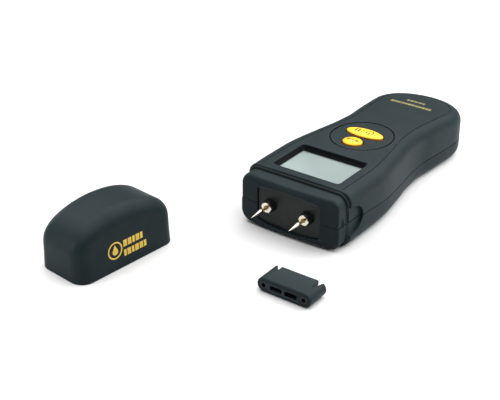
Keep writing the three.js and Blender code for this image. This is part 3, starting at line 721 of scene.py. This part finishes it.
def bottom_case():
    shell = HalfShell(False)
    shape = shell.shape
    rear = spread(NOTCH_PATCH_Y, DOOR_Y, 24)[1:]

    def ys_at(z, front=FRONT_YS):
        share = (door_seam(z) - DOOR_GAP - NOTCH_PATCH_Y) / (DOOR_Y - NOTCH_PATCH_Y)
        return front + [NOTCH_PATCH_Y + (y - NOTCH_PATCH_Y) * share for y in rear]

    outer = tray_rows(shell, ys_at, 0, False)
    walls = 3 + len(WALL_SHARES)
    last = len(FRONT_YS) - 1
    shape.strip([row[last:] for row in outer[2:walls]] + [outer[walls][last:]])
    shape.strip(outer[walls:])
    column = [row[last] for row in outer[3:walls]]
    seam_line, front_line = add_notch(shell, outer[walls], column)
    seams = add_seam(shell, seam_line + outer[2][last + 1 :])
    collar, head = add_front(shell, seams, front_line, [row[0] for row in outer[walls:]])

    inner = tray_rows(shell, lambda z: ys_at(z, [INNER_FRONT_Y, *FRONT_YS[1:]]), WALL, False)
    shape.strip(inner)
    middle = (0, INNER_FRONT_Y, inner[0][0][2])
    shape.patch([[row[0] for row in inner] + [middle]], axes=(0, 2))
    shape.strip([[seams[2][-1], seams[1][-1], *[r[-1] for r in outer[2:]]], [r[-1] for r in inner]])
    add_joint_face(shell, head, collar, seams[2], inner[0])
    return shape.mirror()


def battery_door():
    shell = HalfShell(False)
    shape = shell.shape
    base = spread(DOOR_Y, TAIL_BEND_Y, 26)

    def ys_at(z):
        start = door_seam(z) + DOOR_GAP
        return [mix(start, TAIL_BEND_Y, (y - DOOR_Y) / (TAIL_BEND_Y - DOOR_Y)) for y in base]

    outer = tray_rows(shell, ys_at, 0, True)
    inner = tray_rows(shell, ys_at, WALL, True)
    # The rounding along the door's joint is painted dark: painted shade in the gap.
    shape.strip(outer[:2], paint=1)
    shape.strip(outer[1:])
    shape.strip(inner)
    shape.strip([outer[0], inner[0]])
    shape.strip([[row[0] for row in outer], [row[0] for row in inner]])
    return shape.mirror()


# ---- Simple solids ----


def prism(loops, axis, start, end):
    """A flat outline with holes, given in the other two axes, drawn out along one axis."""
    others = [k for k in range(3) if k != axis]
    shape = Shape()
    near, far = [[[(*p[:axis], along, *p[axis:]) for p in loop] for loop in loops] for along in (start, end)]
    for a, b in zip(near, far):
        shape.strip([a, b], closed=True)
    return shape.patch(near, axes=others).patch(far, axes=others)


def rectangle(x0, y0, x1, y1):
    return [(x0, y0), (x1, y0), (x1, y1), (x0, y1)]


def block(x0, y0, z0, x1, y1, z1):
    return prism([rectangle(x0, y0, x1, y1)], 2, z0, z1)


def shifted(loop, x, y):
    return [(u + x, v + y) for u, v in loop]


def at(x, y, z):
    return Matrix.Translation((x, y, z))


def turn(degrees, axis):
    return Matrix.Rotation(radians(degrees), 4, axis)


def softened(piece, width, segments=3, angle=40):
    """Rounds a piece's crisp edges. width is in millimetres."""
    bevel = piece.modifiers.new("rounding", "BEVEL")
    bevel.width = width * MM
    bevel.segments = segments
    bevel.limit_method = "ANGLE"
    bevel.angle_limit = radians(angle)
    piece.modifiers.move(len(piece.modifiers) - 1, 0)
    return piece


def stepped(loop, step):
    """The same outline, with points along its long edges."""
    points = []
    for p, q in zip(loop, loop[1:] + loop[:1]):
        count = ceil(dist(p, q) / step)
        points += [(mix(p[0], q[0], k / count), mix(p[1], q[1], k / count)) for k in range(count)]
    return points


def inlay(loops, height, lift=0.025, spacing=0.8):
    """A thin print that follows a surface, with walls that reach under it."""
    shape = Shape()
    loops = [stepped(loop, spacing / 2) for loop in loops]
    rows = []
    for rise in (lift, -lift):
        raised = [[(x, y, height(x, y) + rise) for x, y in loop] for loop in loops]
        shape.patch(raised, lift=lambda x, y, r=rise: (x, y, height(x, y) + r), spacing=spacing)
        rows.append(raised)
    for over, under in zip(*rows):
        shape.strip([over, under], closed=True)
    return shape


# ---- Materials ----


def node_material(name):
    material = bpy.data.materials.new(name)
    material.use_nodes = True
    tree = material.node_tree
    return material, tree, tree.nodes["Principled BSDF"]


def feed(node, **inputs):
    """Sets a node's inputs: each is a value, or another node's output."""
    for name, value in inputs.items():
        socket = node.inputs[name.replace("_", " ")]
        if isinstance(value, bpy.types.NodeSocket):
            node.id_data.links.new(value, socket)
        else:
            socket.default_value = value


def add_node(tree, kind, output, **inputs):
    """Makes a shader node and returns one of its outputs."""
    node = tree.nodes.new(f"ShaderNode{kind}")
    feed(node, **inputs)
    return node.outputs[output]


def noise(tree, scale, detail=3, stretch=(1, 1, 1)):
    """Noise over the object's own metres. scale is in cells per metre."""
    place = add_node(tree, "TexCoord", "Object")
    place = add_node(tree, "Mapping", "Vector", Scale=stretch, Vector=place)
    return add_node(tree, "TexNoise", "Fac", Scale=scale, Detail=detail, Roughness=0.55, Vector=place)


def ramp(tree, value, stops):
    """A colour ramp. stops are (place, colour) pairs."""
    node = tree.nodes.new("ShaderNodeValToRGB")
    elements = node.color_ramp.elements
    while len(elements) < len(stops):
        elements.new(0.5)
    for element, (place, colour) in zip(elements, stops):
        element.position = place
        element.color = (*colour, 1)
    feed(node, Fac=value)
    return node.outputs["Color"]


def remap(tree, value, low, high):
    return add_node(tree, "MapRange", "Result", To_Min=low, To_Max=high, Value=value)


def bump(tree, shader, heights):
    """Stacks bumps. heights are (value, distance in millimetres, strength)."""
    below = {}
    for value, distance, strength in heights:
        inputs = {"Distance": distance * MM, "Strength": strength, "Height": value, **below}
        below = {"Normal": add_node(tree, "Bump", "Normal", **inputs)}
    feed(shader, **below)


def worn_edges(tree, base, worn):
    """Blends a paler colour in along sharp edges."""
    edge = add_node(tree, "NewGeometry", "Pointiness")
    blend = tree.nodes.new("ShaderNodeMix")
    blend.data_type = "RGBA"
    feed(blend, Factor=ramp(tree, edge, [(0.52, (0, 0, 0)), (0.6, (1, 1, 1))]), A=base, B=(*worn, 1))
    return blend.outputs["Result"]


def moulded(name, dark, light, rough=(0.5, 0.6), grain=0.03, specular=0.5):
    """Moulded plastic with a fine spark-eroded grain."""
    material, tree, shader = node_material(name)
    tone = ramp(tree, noise(tree, 60, 4), [(0.35, dark), (0.65, light)])
    tone = worn_edges(tree, tone, tuple(min(1, 1.5 * c + 0.01) for c in light))
    feed(shader, Base_Color=tone, Roughness=remap(tree, noise(tree, 300, 2), *rough))
    bump(tree, shader, [(noise(tree, 3200, 2), grain, 0.35), (noise(tree, 900, 2), grain, 0.15)])
    feed(shader, Specular_IOR_Level=specular)
    return material


def metal(name, dark, light, rough, brushed=(1, 1, 1)):
    material, tree, shader = node_material(name)
    tone = ramp(tree, noise(tree, 700, 4, brushed), [(0.3, dark), (0.7, light)])
    feed(shader, Base_Color=tone, Roughness=remap(tree, noise(tree, 2500, 3, brushed), *rough), Metallic=1)
    bump(tree, shader, [(noise(tree, 4000, 3, brushed), 0.01, 0.4)])
    return material


CASE = moulded("case_plastic", (0.0078, 0.0145, 0.0168), (0.0098, 0.0178, 0.0202), (0.42, 0.52), 0.03, 0.09)
# Near-black plastic for the black parts inside; on the case it is painted shade in recesses and gaps.
DARK_AND_SHADE = moulded("dark_plastic", (0.0012, 0.0018, 0.002), (0.002, 0.0026, 0.003), (0.4, 0.5), 0.01, 0.05)
RUBBER = moulded("seal_rubber", (0.005, 0.008, 0.009), (0.008, 0.012, 0.013), (0.6, 0.75), 0.02, 0.1)
PLATE = moulded("plate_plastic", (0.0075, 0.0098, 0.0101), (0.0101, 0.013, 0.013), (0.3, 0.4), 0.01, 0.2)
NICKEL = metal("nickel", (0.62, 0.58, 0.47), (0.8, 0.76, 0.66), (0.16, 0.28))
STEEL = metal("steel", (0.4, 0.37, 0.31), (0.54, 0.5, 0.42), (0.16, 0.26), (6, 1, 6))
BRASS = metal("brass", (0.42, 0.29, 0.1), (0.6, 0.44, 0.2), (0.22, 0.34))
TINNED = metal("tinned", (0.5, 0.51, 0.52), (0.66, 0.67, 0.68), (0.3, 0.42))


def button_plastic():
    """Satin plastic with painted shade: a deeper orange where the dome turns down, away from the light."""
    material, tree, shader = node_material("button_plastic")
    painted_shade_by_facing = add_node(tree, "SeparateXYZ", "Z", Vector=add_node(tree, "NewGeometry", "Normal"))
    # Painted shade: orange where the surface faces sideways and down, yellow where it faces up.
    stops = [(0.4, (0.45, 0.16, 0.003)), (0.9, (0.85, 0.42, 0.008)), (0.99, (1.0, 0.56, 0.014))]
    rough = remap(tree, noise(tree, 400, 2), 0.28, 0.38)
    feed(shader, Base_Color=ramp(tree, painted_shade_by_facing, stops), Roughness=rough, Specular_IOR_Level=0.25)
    bump(tree, shader, [(noise(tree, 2600, 2), 0.01, 0.3)])
    return material


def pane():
    material, tree, shader = node_material("window_clear")
    rough = remap(tree, noise(tree, 300, 2), 0.04, 0.08)
    feed(shader, Base_Color=(0.9, 0.95, 0.93, 1), Alpha=0.05, Roughness=rough)
    bump(tree, shader, [(noise(tree, 120, 1), 0.02, 0.1)])
    return material


BUTTON = button_plastic()
PANE = pane()
DISPLAY = moulded("display", (0.125, 0.165, 0.158), (0.14, 0.18, 0.172), (0.5, 0.6), 0.004, 0.05)
PRINT = moulded("print", (0.03, 0.016, 0.003), (0.05, 0.026, 0.005), (0.4, 0.5), 0.004, 0.2)
MARK = moulded("mark", (0.36, 0.23, 0.015), (0.44, 0.29, 0.02), (0.35, 0.45), 0.004)
FAINT_MARK = moulded("faint_mark", (0.09, 0.075, 0.02), (0.13, 0.1, 0.025), (0.4, 0.5), 0.004)
BOARD = moulded("board", (0.01, 0.08, 0.03), (0.015, 0.11, 0.04), (0.3, 0.4), 0.01)
JACKET = moulded("battery_jacket", (0.02, 0.024, 0.03), (0.035, 0.04, 0.05), (0.25, 0.35), 0.01)
FOAM = moulded("foam", (0.025, 0.025, 0.025), (0.06, 0.06, 0.06), (0.85, 0.95), 0.3)
RED_WIRE = moulded("wire_red", (0.4, 0.015, 0.015), (0.5, 0.02, 0.02), (0.4, 0.5), 0.01)
BLACK_WIRE = moulded("wire_black", (0.01, 0.01, 0.01), (0.02, 0.02, 0.02), (0.4, 0.5), 0.01)

# ---- Casing pieces ----

SIDES = [("left", -1), ("right", 1)]
PIN_X = 11.55
PIN_Z = 15.2
PLATE_Y = -74.9
PLATE_EDGE = 0.4
FRONT_SCREW = (26.3, -58.5)
REAR_SCREW = (20.2, 9.5)
BOARD_SCREW = (18, -22.5)
GROOVE_Y = 58.5
GROOVE_PITCH = 2.2
BAY_OUTSIDE = (-17.2, 1.2, 2.6, 17.2, 64, 21.6)
BAY_INSIDE = (-15.4, 5.3, -1, 15.4, 62.2, 20.2)
WIRE_OPENING = (-8, 0, 12, 8, 6.5, 17.5)
EAR_Z = (8.85, 10.85)
SEAL_PROFILE = [(-0.3, -66.2), (0.95, -66.2), (1.2, -66.35), (1.3, -66.6), (1.25, -67.0), (1.0, -67.35),
                (0.6, -67.5), (-0.3, -67.5)]  # (how far out of the head's side, y)
RIB_Y = -70.1
RIB_Z = (11.4, 18.6)


def upright(radius, x, y, z0, z1, sides=40):
    return prism([shifted(oval(radius, radius, sides), x, y)], 2, z0, z1)


top_case().piece("top_shell", CASE, "top_case")

lower = bottom_case().piece("bottom_shell", CASE, "bottom_case")
x, y = FRONT_SCREW
carve(lower, [upright(3.4, k * x, y, 1.2, SPLIT_HEAD_Z - 0.15) for _, k in SIDES], "UNION")
carve(lower, [upright(2.7, k * x, y, -1, 8) for _, k in SIDES])

door = battery_door().piece("rear_door", CASE, "battery_door", body="battery_door")
grooves = [shifted(rounded_loop(9, 0.5, 0.45, 4), 0, GROOVE_Y + GROOVE_PITCH * k) for k in range(4)]
carve(door, [prism([loop], 2, -1, 0.5) for loop in grooves])


def bulkhead():
    """The wall behind the board, which the door's front edge meets."""
    wide, low, radius = side_x(1, WALL + 0.1), WALL - 0.1, BOTTOM_RADIUS - WALL
    right = [(wide, SPLIT_REAR_Z - 0.3)]
    right += [(wide - radius * (1 - c), low + radius * (1 - s)) for s, c in quarter(8)]
    return prism([right + mirrored(right)], 1, -1, 1.6)


softened(bulkhead().piece("bulkhead", CASE, "bottom_case"), 0.3)
bay = block(*BAY_OUTSIDE).piece("battery_bay", CASE, "bottom_case")
softened(carve(bay, [block(*BAY_INSIDE), block(*WIRE_OPENING)]), 0.35)
for side, k in SIDES:
    x, y = k * REAR_SCREW[0], REAR_SCREW[1]
    ear = prism([shifted(rounded_loop(4, 4, 1.5), x * 0.94, y)], 2, *EAR_Z)
    ear.piece(f"door_ear_{side}", CASE, "bottom_case")


def whole_loop(up, down):
    """A closed loop from its upper and its lower right quarter, which both run to the middle."""
    up, down = up[2:], down[2:]
    return up + mirrored(up[:-1]) + mirrored(down[::-1]) + down[-2::-1]


def seal_ring():
    """The raised ring round the root of the head. It sinks in beside the finger notches."""
    rows = []
    points, normals = [whole_loop(up, down) for up, down in zip(head_section(True), head_section(False))]
    for out, y in SEAL_PROFILE:
        row = []
        for (x, z), (nx, nz) in zip(points, normals):
            beside = min(max((9.4 - abs(z - PIN_Z)) / 2, 0), 1) if abs(x) > 20 else 0
            rise = mix(out, min(out, 0.15), beside)
            row.append((x - nx * rise, y, z - nz * rise))
        rows.append(row)
    return Shape().strip(rows + rows[:1], closed=True)


seal_ring().piece("seal_ring", RUBBER, "head_seal")


def detent_rib(k):
    """A small upright bead on the head's side, which clicks into the cap."""
    rows = []
    for t in spread(0, 1, 10):
        z = mix(*RIB_Z, t)
        size = sqrt(max(1 - abs(2 * t - 1) ** 6, 0))
        ring = [(0.62 * size * sin(a), 0.55 * size * cos(a)) for a in spread(0, 2 * pi, 16)[:-1]]
        rows.append([(k * (HEAD_HALF_WIDTH - 0.05 + u), RIB_Y + v, z) for u, v in ring])
    return Shape().strip(rows, closed=True)


for side, k in SIDES:
    detent_rib(k).piece(f"detent_rib_{side}", CASE, "top_case", "bottom_case")

# ---- Pin plate and pins ----


def pin_plate():
    rows = []
    edge = [(PLATE_EDGE * (1 - c), PLATE_Y + PLATE_EDGE * (1 - s)) for s, c in quarter(4)]
    for inset, y in [(0, RECESS_FLOOR_Y + 0.1), *edge]:
        loop = whole_loop(barrel(True, -0.12 - inset), barrel(False, -0.12 - inset))
        rows.append([(x, y, z) for x, z in loop])
    shape = Shape().strip(rows, closed=True)
    for row in (rows[0], rows[-1]):
        shape.patch([row], axes=(0, 2))
    return shape


pin_plate().piece("front_plate", PLATE, "pin_plate")


NUT_HALF_WIDTH = 2.75
NUT_FACE = 0.95 * NUT_HALF_WIDTH  # radius of its flat ends
NUT_CHAMFER = 0.577  # the tangent of 30 degrees


def hex_nut(y0, y1, bore):
    """A hexagon nut, chamfered at each end. Its corners point up and down."""
    columns = []
    for a in [pi * k / 36 for k in range(72)]:
        corner = NUT_HALF_WIDTH / cos((a + pi / 6) % (pi / 3) - pi / 6)
        ease = (corner - NUT_FACE) * NUT_CHAMFER
        profile = [(bore, y1), (bore, y0 + 0.25), (bore + 0.25, y0), (NUT_FACE, y0), (corner, y0 + ease)]
        profile += [(corner, y1 - ease), (NUT_FACE, y1), (bore, y1)]
        columns.append([(r * sin(a), y, r * cos(a)) for r, y in profile])
    return Shape().strip(list(zip(*columns)), closed=True)


COLLAR_PROFILE = [(1, -74.6), (3.7, -74.6), (3.7, -76), (3.62, -76.3), (3.4, -76.48), (3.15, -76.5),
                  (2.9, -76.5), (2.8, -76.4), (1, -76.4), (1, -74.6)]
NECK_PROFILE = [(0, -73), (1, -73), (1, -79.1), (0.92, -79.4), (0.85, -79.7), (0.85, -81.9), (0.95, -82.2),
                (1.2, -82.4), (1.3, -82.65), (1.3, -82.75), (0, -82.75)]
NEEDLE_PROFILE = [(0, -82.7), (1.22, -82.7), (1.35, -82.85), (1.35, -83.4), (1.2, -84.1), (0.66, -87.2),
                  (0.37, -89.3), (0.13, -91.2), (0.05, -91.7), (0, -91.8)]
PIN_NUT_Y = (-78.7, -76.45)
CLAMP_NUT_Y = (-71.2, -69.2)
for side, k in SIDES:
    place = at(k * PIN_X, 0, PIN_Z)
    # The collars are near-black plastic, made darker still as painted shade behind the nuts.
    turned(COLLAR_PROFILE).move(place).piece(f"collar_{side}", DARK_AND_SHADE, f"pin_collar_{side}")
    hex_nut(*PIN_NUT_Y, 1.05).move(place).piece(f"pin_nut_{side}", NICKEL, f"hex_nut_{side}", sharp=20)
    turned(NECK_PROFILE).move(place).piece(f"pin_neck_{side}", BRASS, f"probe_pin_{side}")
    turned(NEEDLE_PROFILE).move(place).piece(f"needle_{side}", STEEL, f"probe_pin_{side}")
    inner = hex_nut(*CLAMP_NUT_Y, 1.55).move(place)
    inner.piece(f"clamp_nut_{side}", BRASS, f"terminal_nut_{side}", sharp=20)

# ---- Buttons, display and marks on top ----


def dome_z(spec):
    """Height of a button's top."""

    def height(x, y):
        out = hypot(x / spec["a"], (y - spec["y"]) / spec["b"])
        return spec["rim"] - 0.4 + (spec["dome"] + 0.4) * (1 - min(out, 1) ** 2.2) ** 0.55

    return height


def button(spec):
    height, a, b, y = dome_z(spec), spec["a"], spec["b"], spec["y"]
    rows = [[(u, v + y, 27) for u, v in oval(a, b, 96)]]
    for share in [1, 0.997, 0.985, 0.96, 0.92, 0.86, 0.77, 0.64, 0.48, 0.3, 0.12]:
        rows.append([(u, v + y, height(u, v + y)) for u, v in oval(a * share, b * share, 96)])
    rows.append([(0, y, height(0, y))] * 96)
    return Shape().strip(rows, closed=True).patch([rows[0]])


def ring_sector(radius, stroke, start, end, x, y):
    """A bent bar, from one angle to another."""
    outer = [(radius * cos(a), radius * sin(a)) for a in spread(start, end, 28)]
    inner = [(u * (1 - stroke / radius), v * (1 - stroke / radius)) for u, v in outer[::-1]]
    return shifted(outer + inner, x, y)


def slanted(x, y0, y1, lean, width):
    return [(x - lean, y0), (x - lean + width, y0), (x + lean + width, y1), (x + lean, y1)]


# Outlines about the middle of each button. The first two make the on and off symbol.
ARROW = [(2.2, -0.45), (2.2, -1.4), (4.1, 0), (2.2, 1.4), (2.2, 0.45)]
SIGNS = {
    "power": [
        ring_sector(2.3, 0.75, 0.65 - pi / 2, 1.5 * pi - 0.65, 3.2, 0.1),
        rectangle(2.8, -2.6, 3.6, 0.1),
        slanted(-1.5, -2.5, 2.5, 0.7, 0.6),
        rectangle(-6, -2, -4.9, 2),
        rectangle(-4, -2, -2.9, 2),
    ],
    "select": [ARROW + mirrored(ARROW)],
}
for name, spec in BUTTONS.items():
    body = f"{name}_button"
    button(spec).piece(f"{name}_dome", BUTTON, body, body=body)
    for k, loop in enumerate(SIGNS[name]):
        sign = inlay([shifted(loop, 0, spec["y"])], dome_z(spec))
        sign.piece(f"{name}_sign_{k}", PRINT, body, body=body)


def word_bars(x0, x1, y0, y1, widths):
    """A row of small bars with even gaps, in place of lettering."""
    gap = 0.35 * (x1 - x0) / len(widths) / 1.35
    scale = (x1 - x0 - gap * (len(widths) - 1)) / sum(widths)
    loops, x = [], x0
    for width in widths:
        loops.append(rectangle(x, y0, x + width * scale, y1))
        x += width * scale + gap
    return loops


lines = word_bars(-14.6, 11.8, 51.4, 54, [3, 2, 2, 1, 2, 2, 3, 2, 1, 2, 2, 3, 2, 2])
lines += word_bars(-7.2, 4.5, 58, 60.2, [2, 3, 2, 1, 2, 2])
for k, loop in enumerate(lines):
    inlay([loop], top_z, 0.02, 2).piece(f"tail_mark_{k}", FAINT_MARK, "top_case")

LENS_LOOP = shifted(rounded_loop(19.6, 14.2, 1), 0, -46.5)
LCD_LOOP = shifted(rounded_loop(19.3, 13.8, 0.5), 0, -46.5)
softened(prism([LENS_LOOP], 2, 27.8, 28.18).piece("lens", PANE, "display_lens"), 0.1, 2)
softened(prism([LCD_LOOP], 2, 25, 27.75).piece("lcd", DISPLAY, "display_glass"), 0.15, 2)

# ---- Cap ----

CAP_HALF_WIDTH = 31.7
CAP_HALF_DEPTH = 15.6
CAP_HEIGHT = 31
CAP_STRAIGHT = 13.9
CAP_ARCH_POWERS = (1.95, 2.4)
CAP_EDGE_RADIUS = 7.2
CAP_WALL = 1.5
CAP_FLARE = 0.075
CAP_FLARE_TOP = 24
CAP_PLACE = at(-65.4, -141.1, 0) @ turn(83.5, "Z")


def flared(v, z):
    """The cap's two faces spread a little towards the floor."""
    return v * (1 + CAP_FLARE * max(0, 1 - z / CAP_FLARE_TOP) ** 2)


def cap_row(inset, v):
    """From the rim on one side over the arch to the rim on the other side, at depth v."""
    across, up = CAP_ARCH_POWERS
    w, rise = CAP_HALF_WIDTH - inset, CAP_HEIGHT - inset - CAP_STRAIGHT
    right = [(w, v, z) for z in spread(0, CAP_STRAIGHT, 5)[:-1]]
    for a in [pi / 2 * (1 - (1 - k / 26) ** 1.3) for k in range(26)]:
        right.append((w * cos(a) ** (2 / across), v, CAP_STRAIGHT + rise * sin(a) ** (2 / up)))
    row = right + [(0, v, CAP_STRAIGHT + rise)] + mirrored(right)
    return [(x, flared(y, z), z) for x, y, z in row]


def cap_skin(shape, wall):
    """One side of the cap's wall. Returns its edge along the floor."""
    radius, half = CAP_EDGE_RADIUS - wall, CAP_HALF_DEPTH - wall
    front = [(wall + radius * (1 - s), half - radius * (1 - c)) for s, c in quarter(10)]
    rows = [cap_row(inset, -v) for inset, v in front] + [cap_row(inset, v) for inset, v in front[::-1]]
    shape.strip(rows)
    for row, v in [(rows[0], -half), (rows[-1], half)]:
        shape.patch([row], axes=(0, 2), lift=lambda x, z, v=v: (x, flared(v, z), z), spacing=3)
    return [row[0] for row in rows] + [row[-1] for row in rows[::-1]]


def cap_shell():
    shape = Shape()
    loops = [cap_skin(shape, 0), cap_skin(shape, CAP_WALL)]
    return shape.patch(loops).move(CAP_PLACE)


softened(cap_shell().piece("cap_cover", CASE, "cap_shell", body="cap"), 0.35, 3, 60)

# The mark on the cap's face: a drop in a ring, and two rows of plain bars.
drop = [(0, 3.1)]
for a in spread(radians(35), radians(-215), 24):
    drop.append((1.75 * cos(a), 1.75 * sin(a) - 0.7))
emblem = [[oval(4.6, 4.6, 64), oval(3.9, 3.9, 64)], [drop]]
cap_marks = [[shifted(loop, -8.7, 11) for loop in loops] for loops in emblem]
cap_marks += [[loop] for loop in word_bars(-3.2, 9.6, 10.9, 14.4, [3, 3, 2, 3, 2])]
cap_marks += [[loop] for loop in word_bars(-3.2, 11.6, 5.7, 9.1, [2, 3, 2, 3, 3, 2])]
FACE = CAP_PLACE @ turn(90, "X")
for k, loops in enumerate(cap_marks):
    sign = inlay(loops, lambda x, y: flared(CAP_HALF_DEPTH, y), 0.03, 1).move(FACE)
    sign.piece(f"cap_mark_{k}", MARK, "cap_shell", body="cap")

# ---- Pin block ----

BLOCK_PLACE = at(31.65, -125.2, 0)
BLOCK_MIDDLE = 3.9
BLOCK_DEPTH = 14.3
BLOCK_SLEEVE_DEPTH = 5
BLOCK_FRONT_RADIUS = 1.1
BLOCK_REAR_RADIUS = 0.4
SLEEVE_PROFILE = [(1.25, 0.2), (1.35, 0.1), (2.1, 0.1), (2.25, 0.25), (2.25, 4.8), (1.25, 4.8), (1.25, 0.2)]


def stadium(radius, y, steps=14):
    loop = []
    for side, middle in [(1, 0), (-1, pi)]:
        for a in spread(middle - pi / 2, middle + pi / 2, steps):
            loop.append((side * PIN_X + radius * cos(a), y, BLOCK_MIDDLE + radius * sin(a)))
    return loop


def block_body():
    """The solid block with its rounded edges, before anything is cut out of it."""
    front = [(BLOCK_FRONT_RADIUS * (1 - s), BLOCK_FRONT_RADIUS * (1 - c)) for s, c in quarter(6)]
    rear = [(BLOCK_REAR_RADIUS * (1 - s), BLOCK_DEPTH - BLOCK_REAR_RADIUS * (1 - c)) for s, c in quarter(4)]
    rows = [stadium(BLOCK_MIDDLE - inset, y) for inset, y in front + rear[::-1]]
    return Shape().strip(rows, closed=True).cap(rows[0]).cap(rows[-1])


def block_slot(k):
    """An upright cutter for one of the two slots, which open towards the rear."""
    plan = [(10.9, 8), (11.1, 7.5), (11.45, 7.3), (11.8, 7.5), (12, 8), (13.5, 15.3), (10.3, 15.3)]
    return prism([[(k * x + 0.4, y) for x, y in plan]], 2, -1, 9)


def block_bore(radius, depth, k):
    return prism([shifted(oval(radius, radius, 32), k * PIN_X, BLOCK_MIDDLE)], 1, -1, depth)


block_solid = block_body().piece("block_body", CASE, "pin_block", body="pin_block")
windows = [rectangle(0.8, 2.6, 7.8, 5.2), rectangle(-7.8, 2.6, -0.8, 5.2)]
carve(block_solid, [prism([window], 1, -1, 9) for window in windows])
for side, k in SIDES:
    carve(block_solid, [block_bore(2.4, BLOCK_SLEEVE_DEPTH, k), block_bore(1.5, 16, k), block_slot(k)])
    sleeve = turned(SLEEVE_PROFILE).move(BLOCK_PLACE @ at(k * PIN_X, 0, BLOCK_MIDDLE))
    sleeve.piece(f"bore_ring_{side}", PLATE, f"block_sleeve_{side}", body="pin_block")
block_solid.data.transform(Matrix.Translation(BLOCK_PLACE.translation * MM))
softened(block_solid, 0.2, 2)

# ---- Screws, battery and the pieces on the board ----


def pan_screw(x, y, head, length, radius):
    """A pan head screw that points up. The cross in its head is cut after it is made into a piece."""
    profile = [(0, 0), (1.6, 0), (2.1, 0.15), (2.3, 0.5), (2.3, 1.2), (1.9, 1.7), (radius, 1.7)]
    profile += [(radius, length - 1.4), (0, length)]
    return turned(profile, 40).move(at(x, y, head) @ turn(90, "X"))


for name, (x, y), head, length, radius in [
    ("front", FRONT_SCREW, 6, 17, 1.2),
    ("rear", REAR_SCREW, 6.8, 16, 1.2),
    ("board", BOARD_SCREW, 17.1, 8.5, 1),
]:
    for side, k in SIDES:
        screw = pan_screw(k * x, y, head, length, radius)
        piece = screw.piece(f"{name}_fixing_{side}", STEEL, f"{name}_screw_{side}")
        bars = [(1.3, 0.35), (0.35, 1.3)]
        carve(piece, [block(k * x - u, y - v, head - 1, k * x + u, y + v, head + 0.8) for u, v in bars])

can = prism([shifted(rounded_loop(13.1, 8.45, 2), 0, 11.35)], 1, 12.5, 58.7)
softened(can.piece("battery_can", JACKET, "battery_9v"), 0.4)
SMALL_STUD = [(0, 12.6), (2.9, 12.6), (2.9, 10.6), (2.7, 10.3), (0, 10.3)]
LARGE_STUD = [(0, 12.6), (3.2, 12.6), (3.2, 11), (3.9, 10.6), (3.9, 10.3), (3, 10.3), (2.8, 11), (0, 11)]
for name, x, profile in [("small", -6.4, SMALL_STUD), ("large", 6.4, LARGE_STUD)]:
    turned(profile).move(at(x, 0, 11.3)).piece(f"battery_stud_{name}", TINNED, "battery_9v")

# The pieces that stay as the CAD part has them, with a better material.
for material, names in [
    (TINNED, ["solder_tag_left", "solder_tag_right", "crystal_can"]),
    (RED_WIRE, ["battery_wire_red"]),
    (BLACK_WIRE, ["pin_wire_left", "pin_wire_right", "battery_wire_black", "battery_snap"]),
    (DARK_AND_SHADE, ["display_holder", "main_chip", "power_switch", "select_switch"]),
    (RUBBER, ["contact_strip"]),
    (BOARD, ["circuit_board"]),
    (JACKET, ["smoothing_capacitor"]),
    (BUTTON, ["trimmer"]),
    (FOAM, ["battery_foam"]),
]:
    for name in names:
        NODES[name].data.materials.clear()
        NODES[name].data.materials.append(material)
        softened(NODES[name], 0.15, 2)

# ---- Floor, light and camera ----


def floor_and_light():
    """A pale floor under a dim sky that is only bright at the horizon, and four soft lamps."""
    world = bpy.data.worlds.new("tent")
    world.use_nodes = True
    tree = world.node_tree
    upward = add_node(tree, "SeparateXYZ", "Z", Vector=add_node(tree, "TexCoord", "Generated"))
    feed(tree.nodes["Background"], Color=ramp(tree, upward, [(0, [0.95] * 3), (0.1, [0.03] * 3)]))
    bpy.context.scene.world = world
    side = 1400
    ground = Shape().cap([(-side, -side, 0), (side, -side, 0), (side, side, 0), (-side, side, 0)])
    floor = add_object("floor", ground.mesh("floor"))
    material, tree, shader = node_material("pale_floor")
    tone = ramp(tree, noise(tree, 3, 2), [(0.3, [0.6] * 3), (0.7, [0.62] * 3)])
    feed(shader, Base_Color=tone, Roughness=0.9, Specular_IOR_Level=0.1)
    floor.data.materials.append(material)
    for name, place, aim, size, power in [
        ("overhead", (11, 307, 1260), (-20, -50, 10), 2.8, 73),
        ("right_rear", (178, 90, 130), (0, 0, 15), 0.25, 0.42),
        ("left", (-1040, 40, 420), (-20, -50, 10), 0.6, 3),
        ("front_left", (-125, -275, 75), (-65, -170, 12), 0.08, 0.12),
    ]:
        lamp = bpy.data.lights.new(name, "AREA")
        lamp.shape = "DISK"
        lamp.size = size
        lamp.energy = power
        light = add_object(name, lamp)
        light.location = Vector(place) * MM
        light.rotation_euler = (Vector(place) - Vector(aim)).to_track_quat("Z", "Y").to_euler()
    bpy.context.scene.view_settings.view_transform = "Standard"


def camera():
    """A long lens, a little above the meter, looking at its front right."""
    lens = bpy.data.cameras.new("camera")
    lens.sensor_width = 36
    lens.lens = 84.39
    lens.clip_start = 0.05
    target, distance = (-26.91, -71.77, 11.9), 620
    azimuth, elevation, roll = 36.4, 28.5, -0.22
    place = at(*target) @ turn(azimuth, "Z") @ turn(90 - elevation, "X") @ at(0, 0, distance) @ turn(roll, "Z")
    place.translation *= MM
    view = add_object("camera", lens)
    view.matrix_world = place
    bpy.context.scene.camera = view


floor_and_light()
camera()
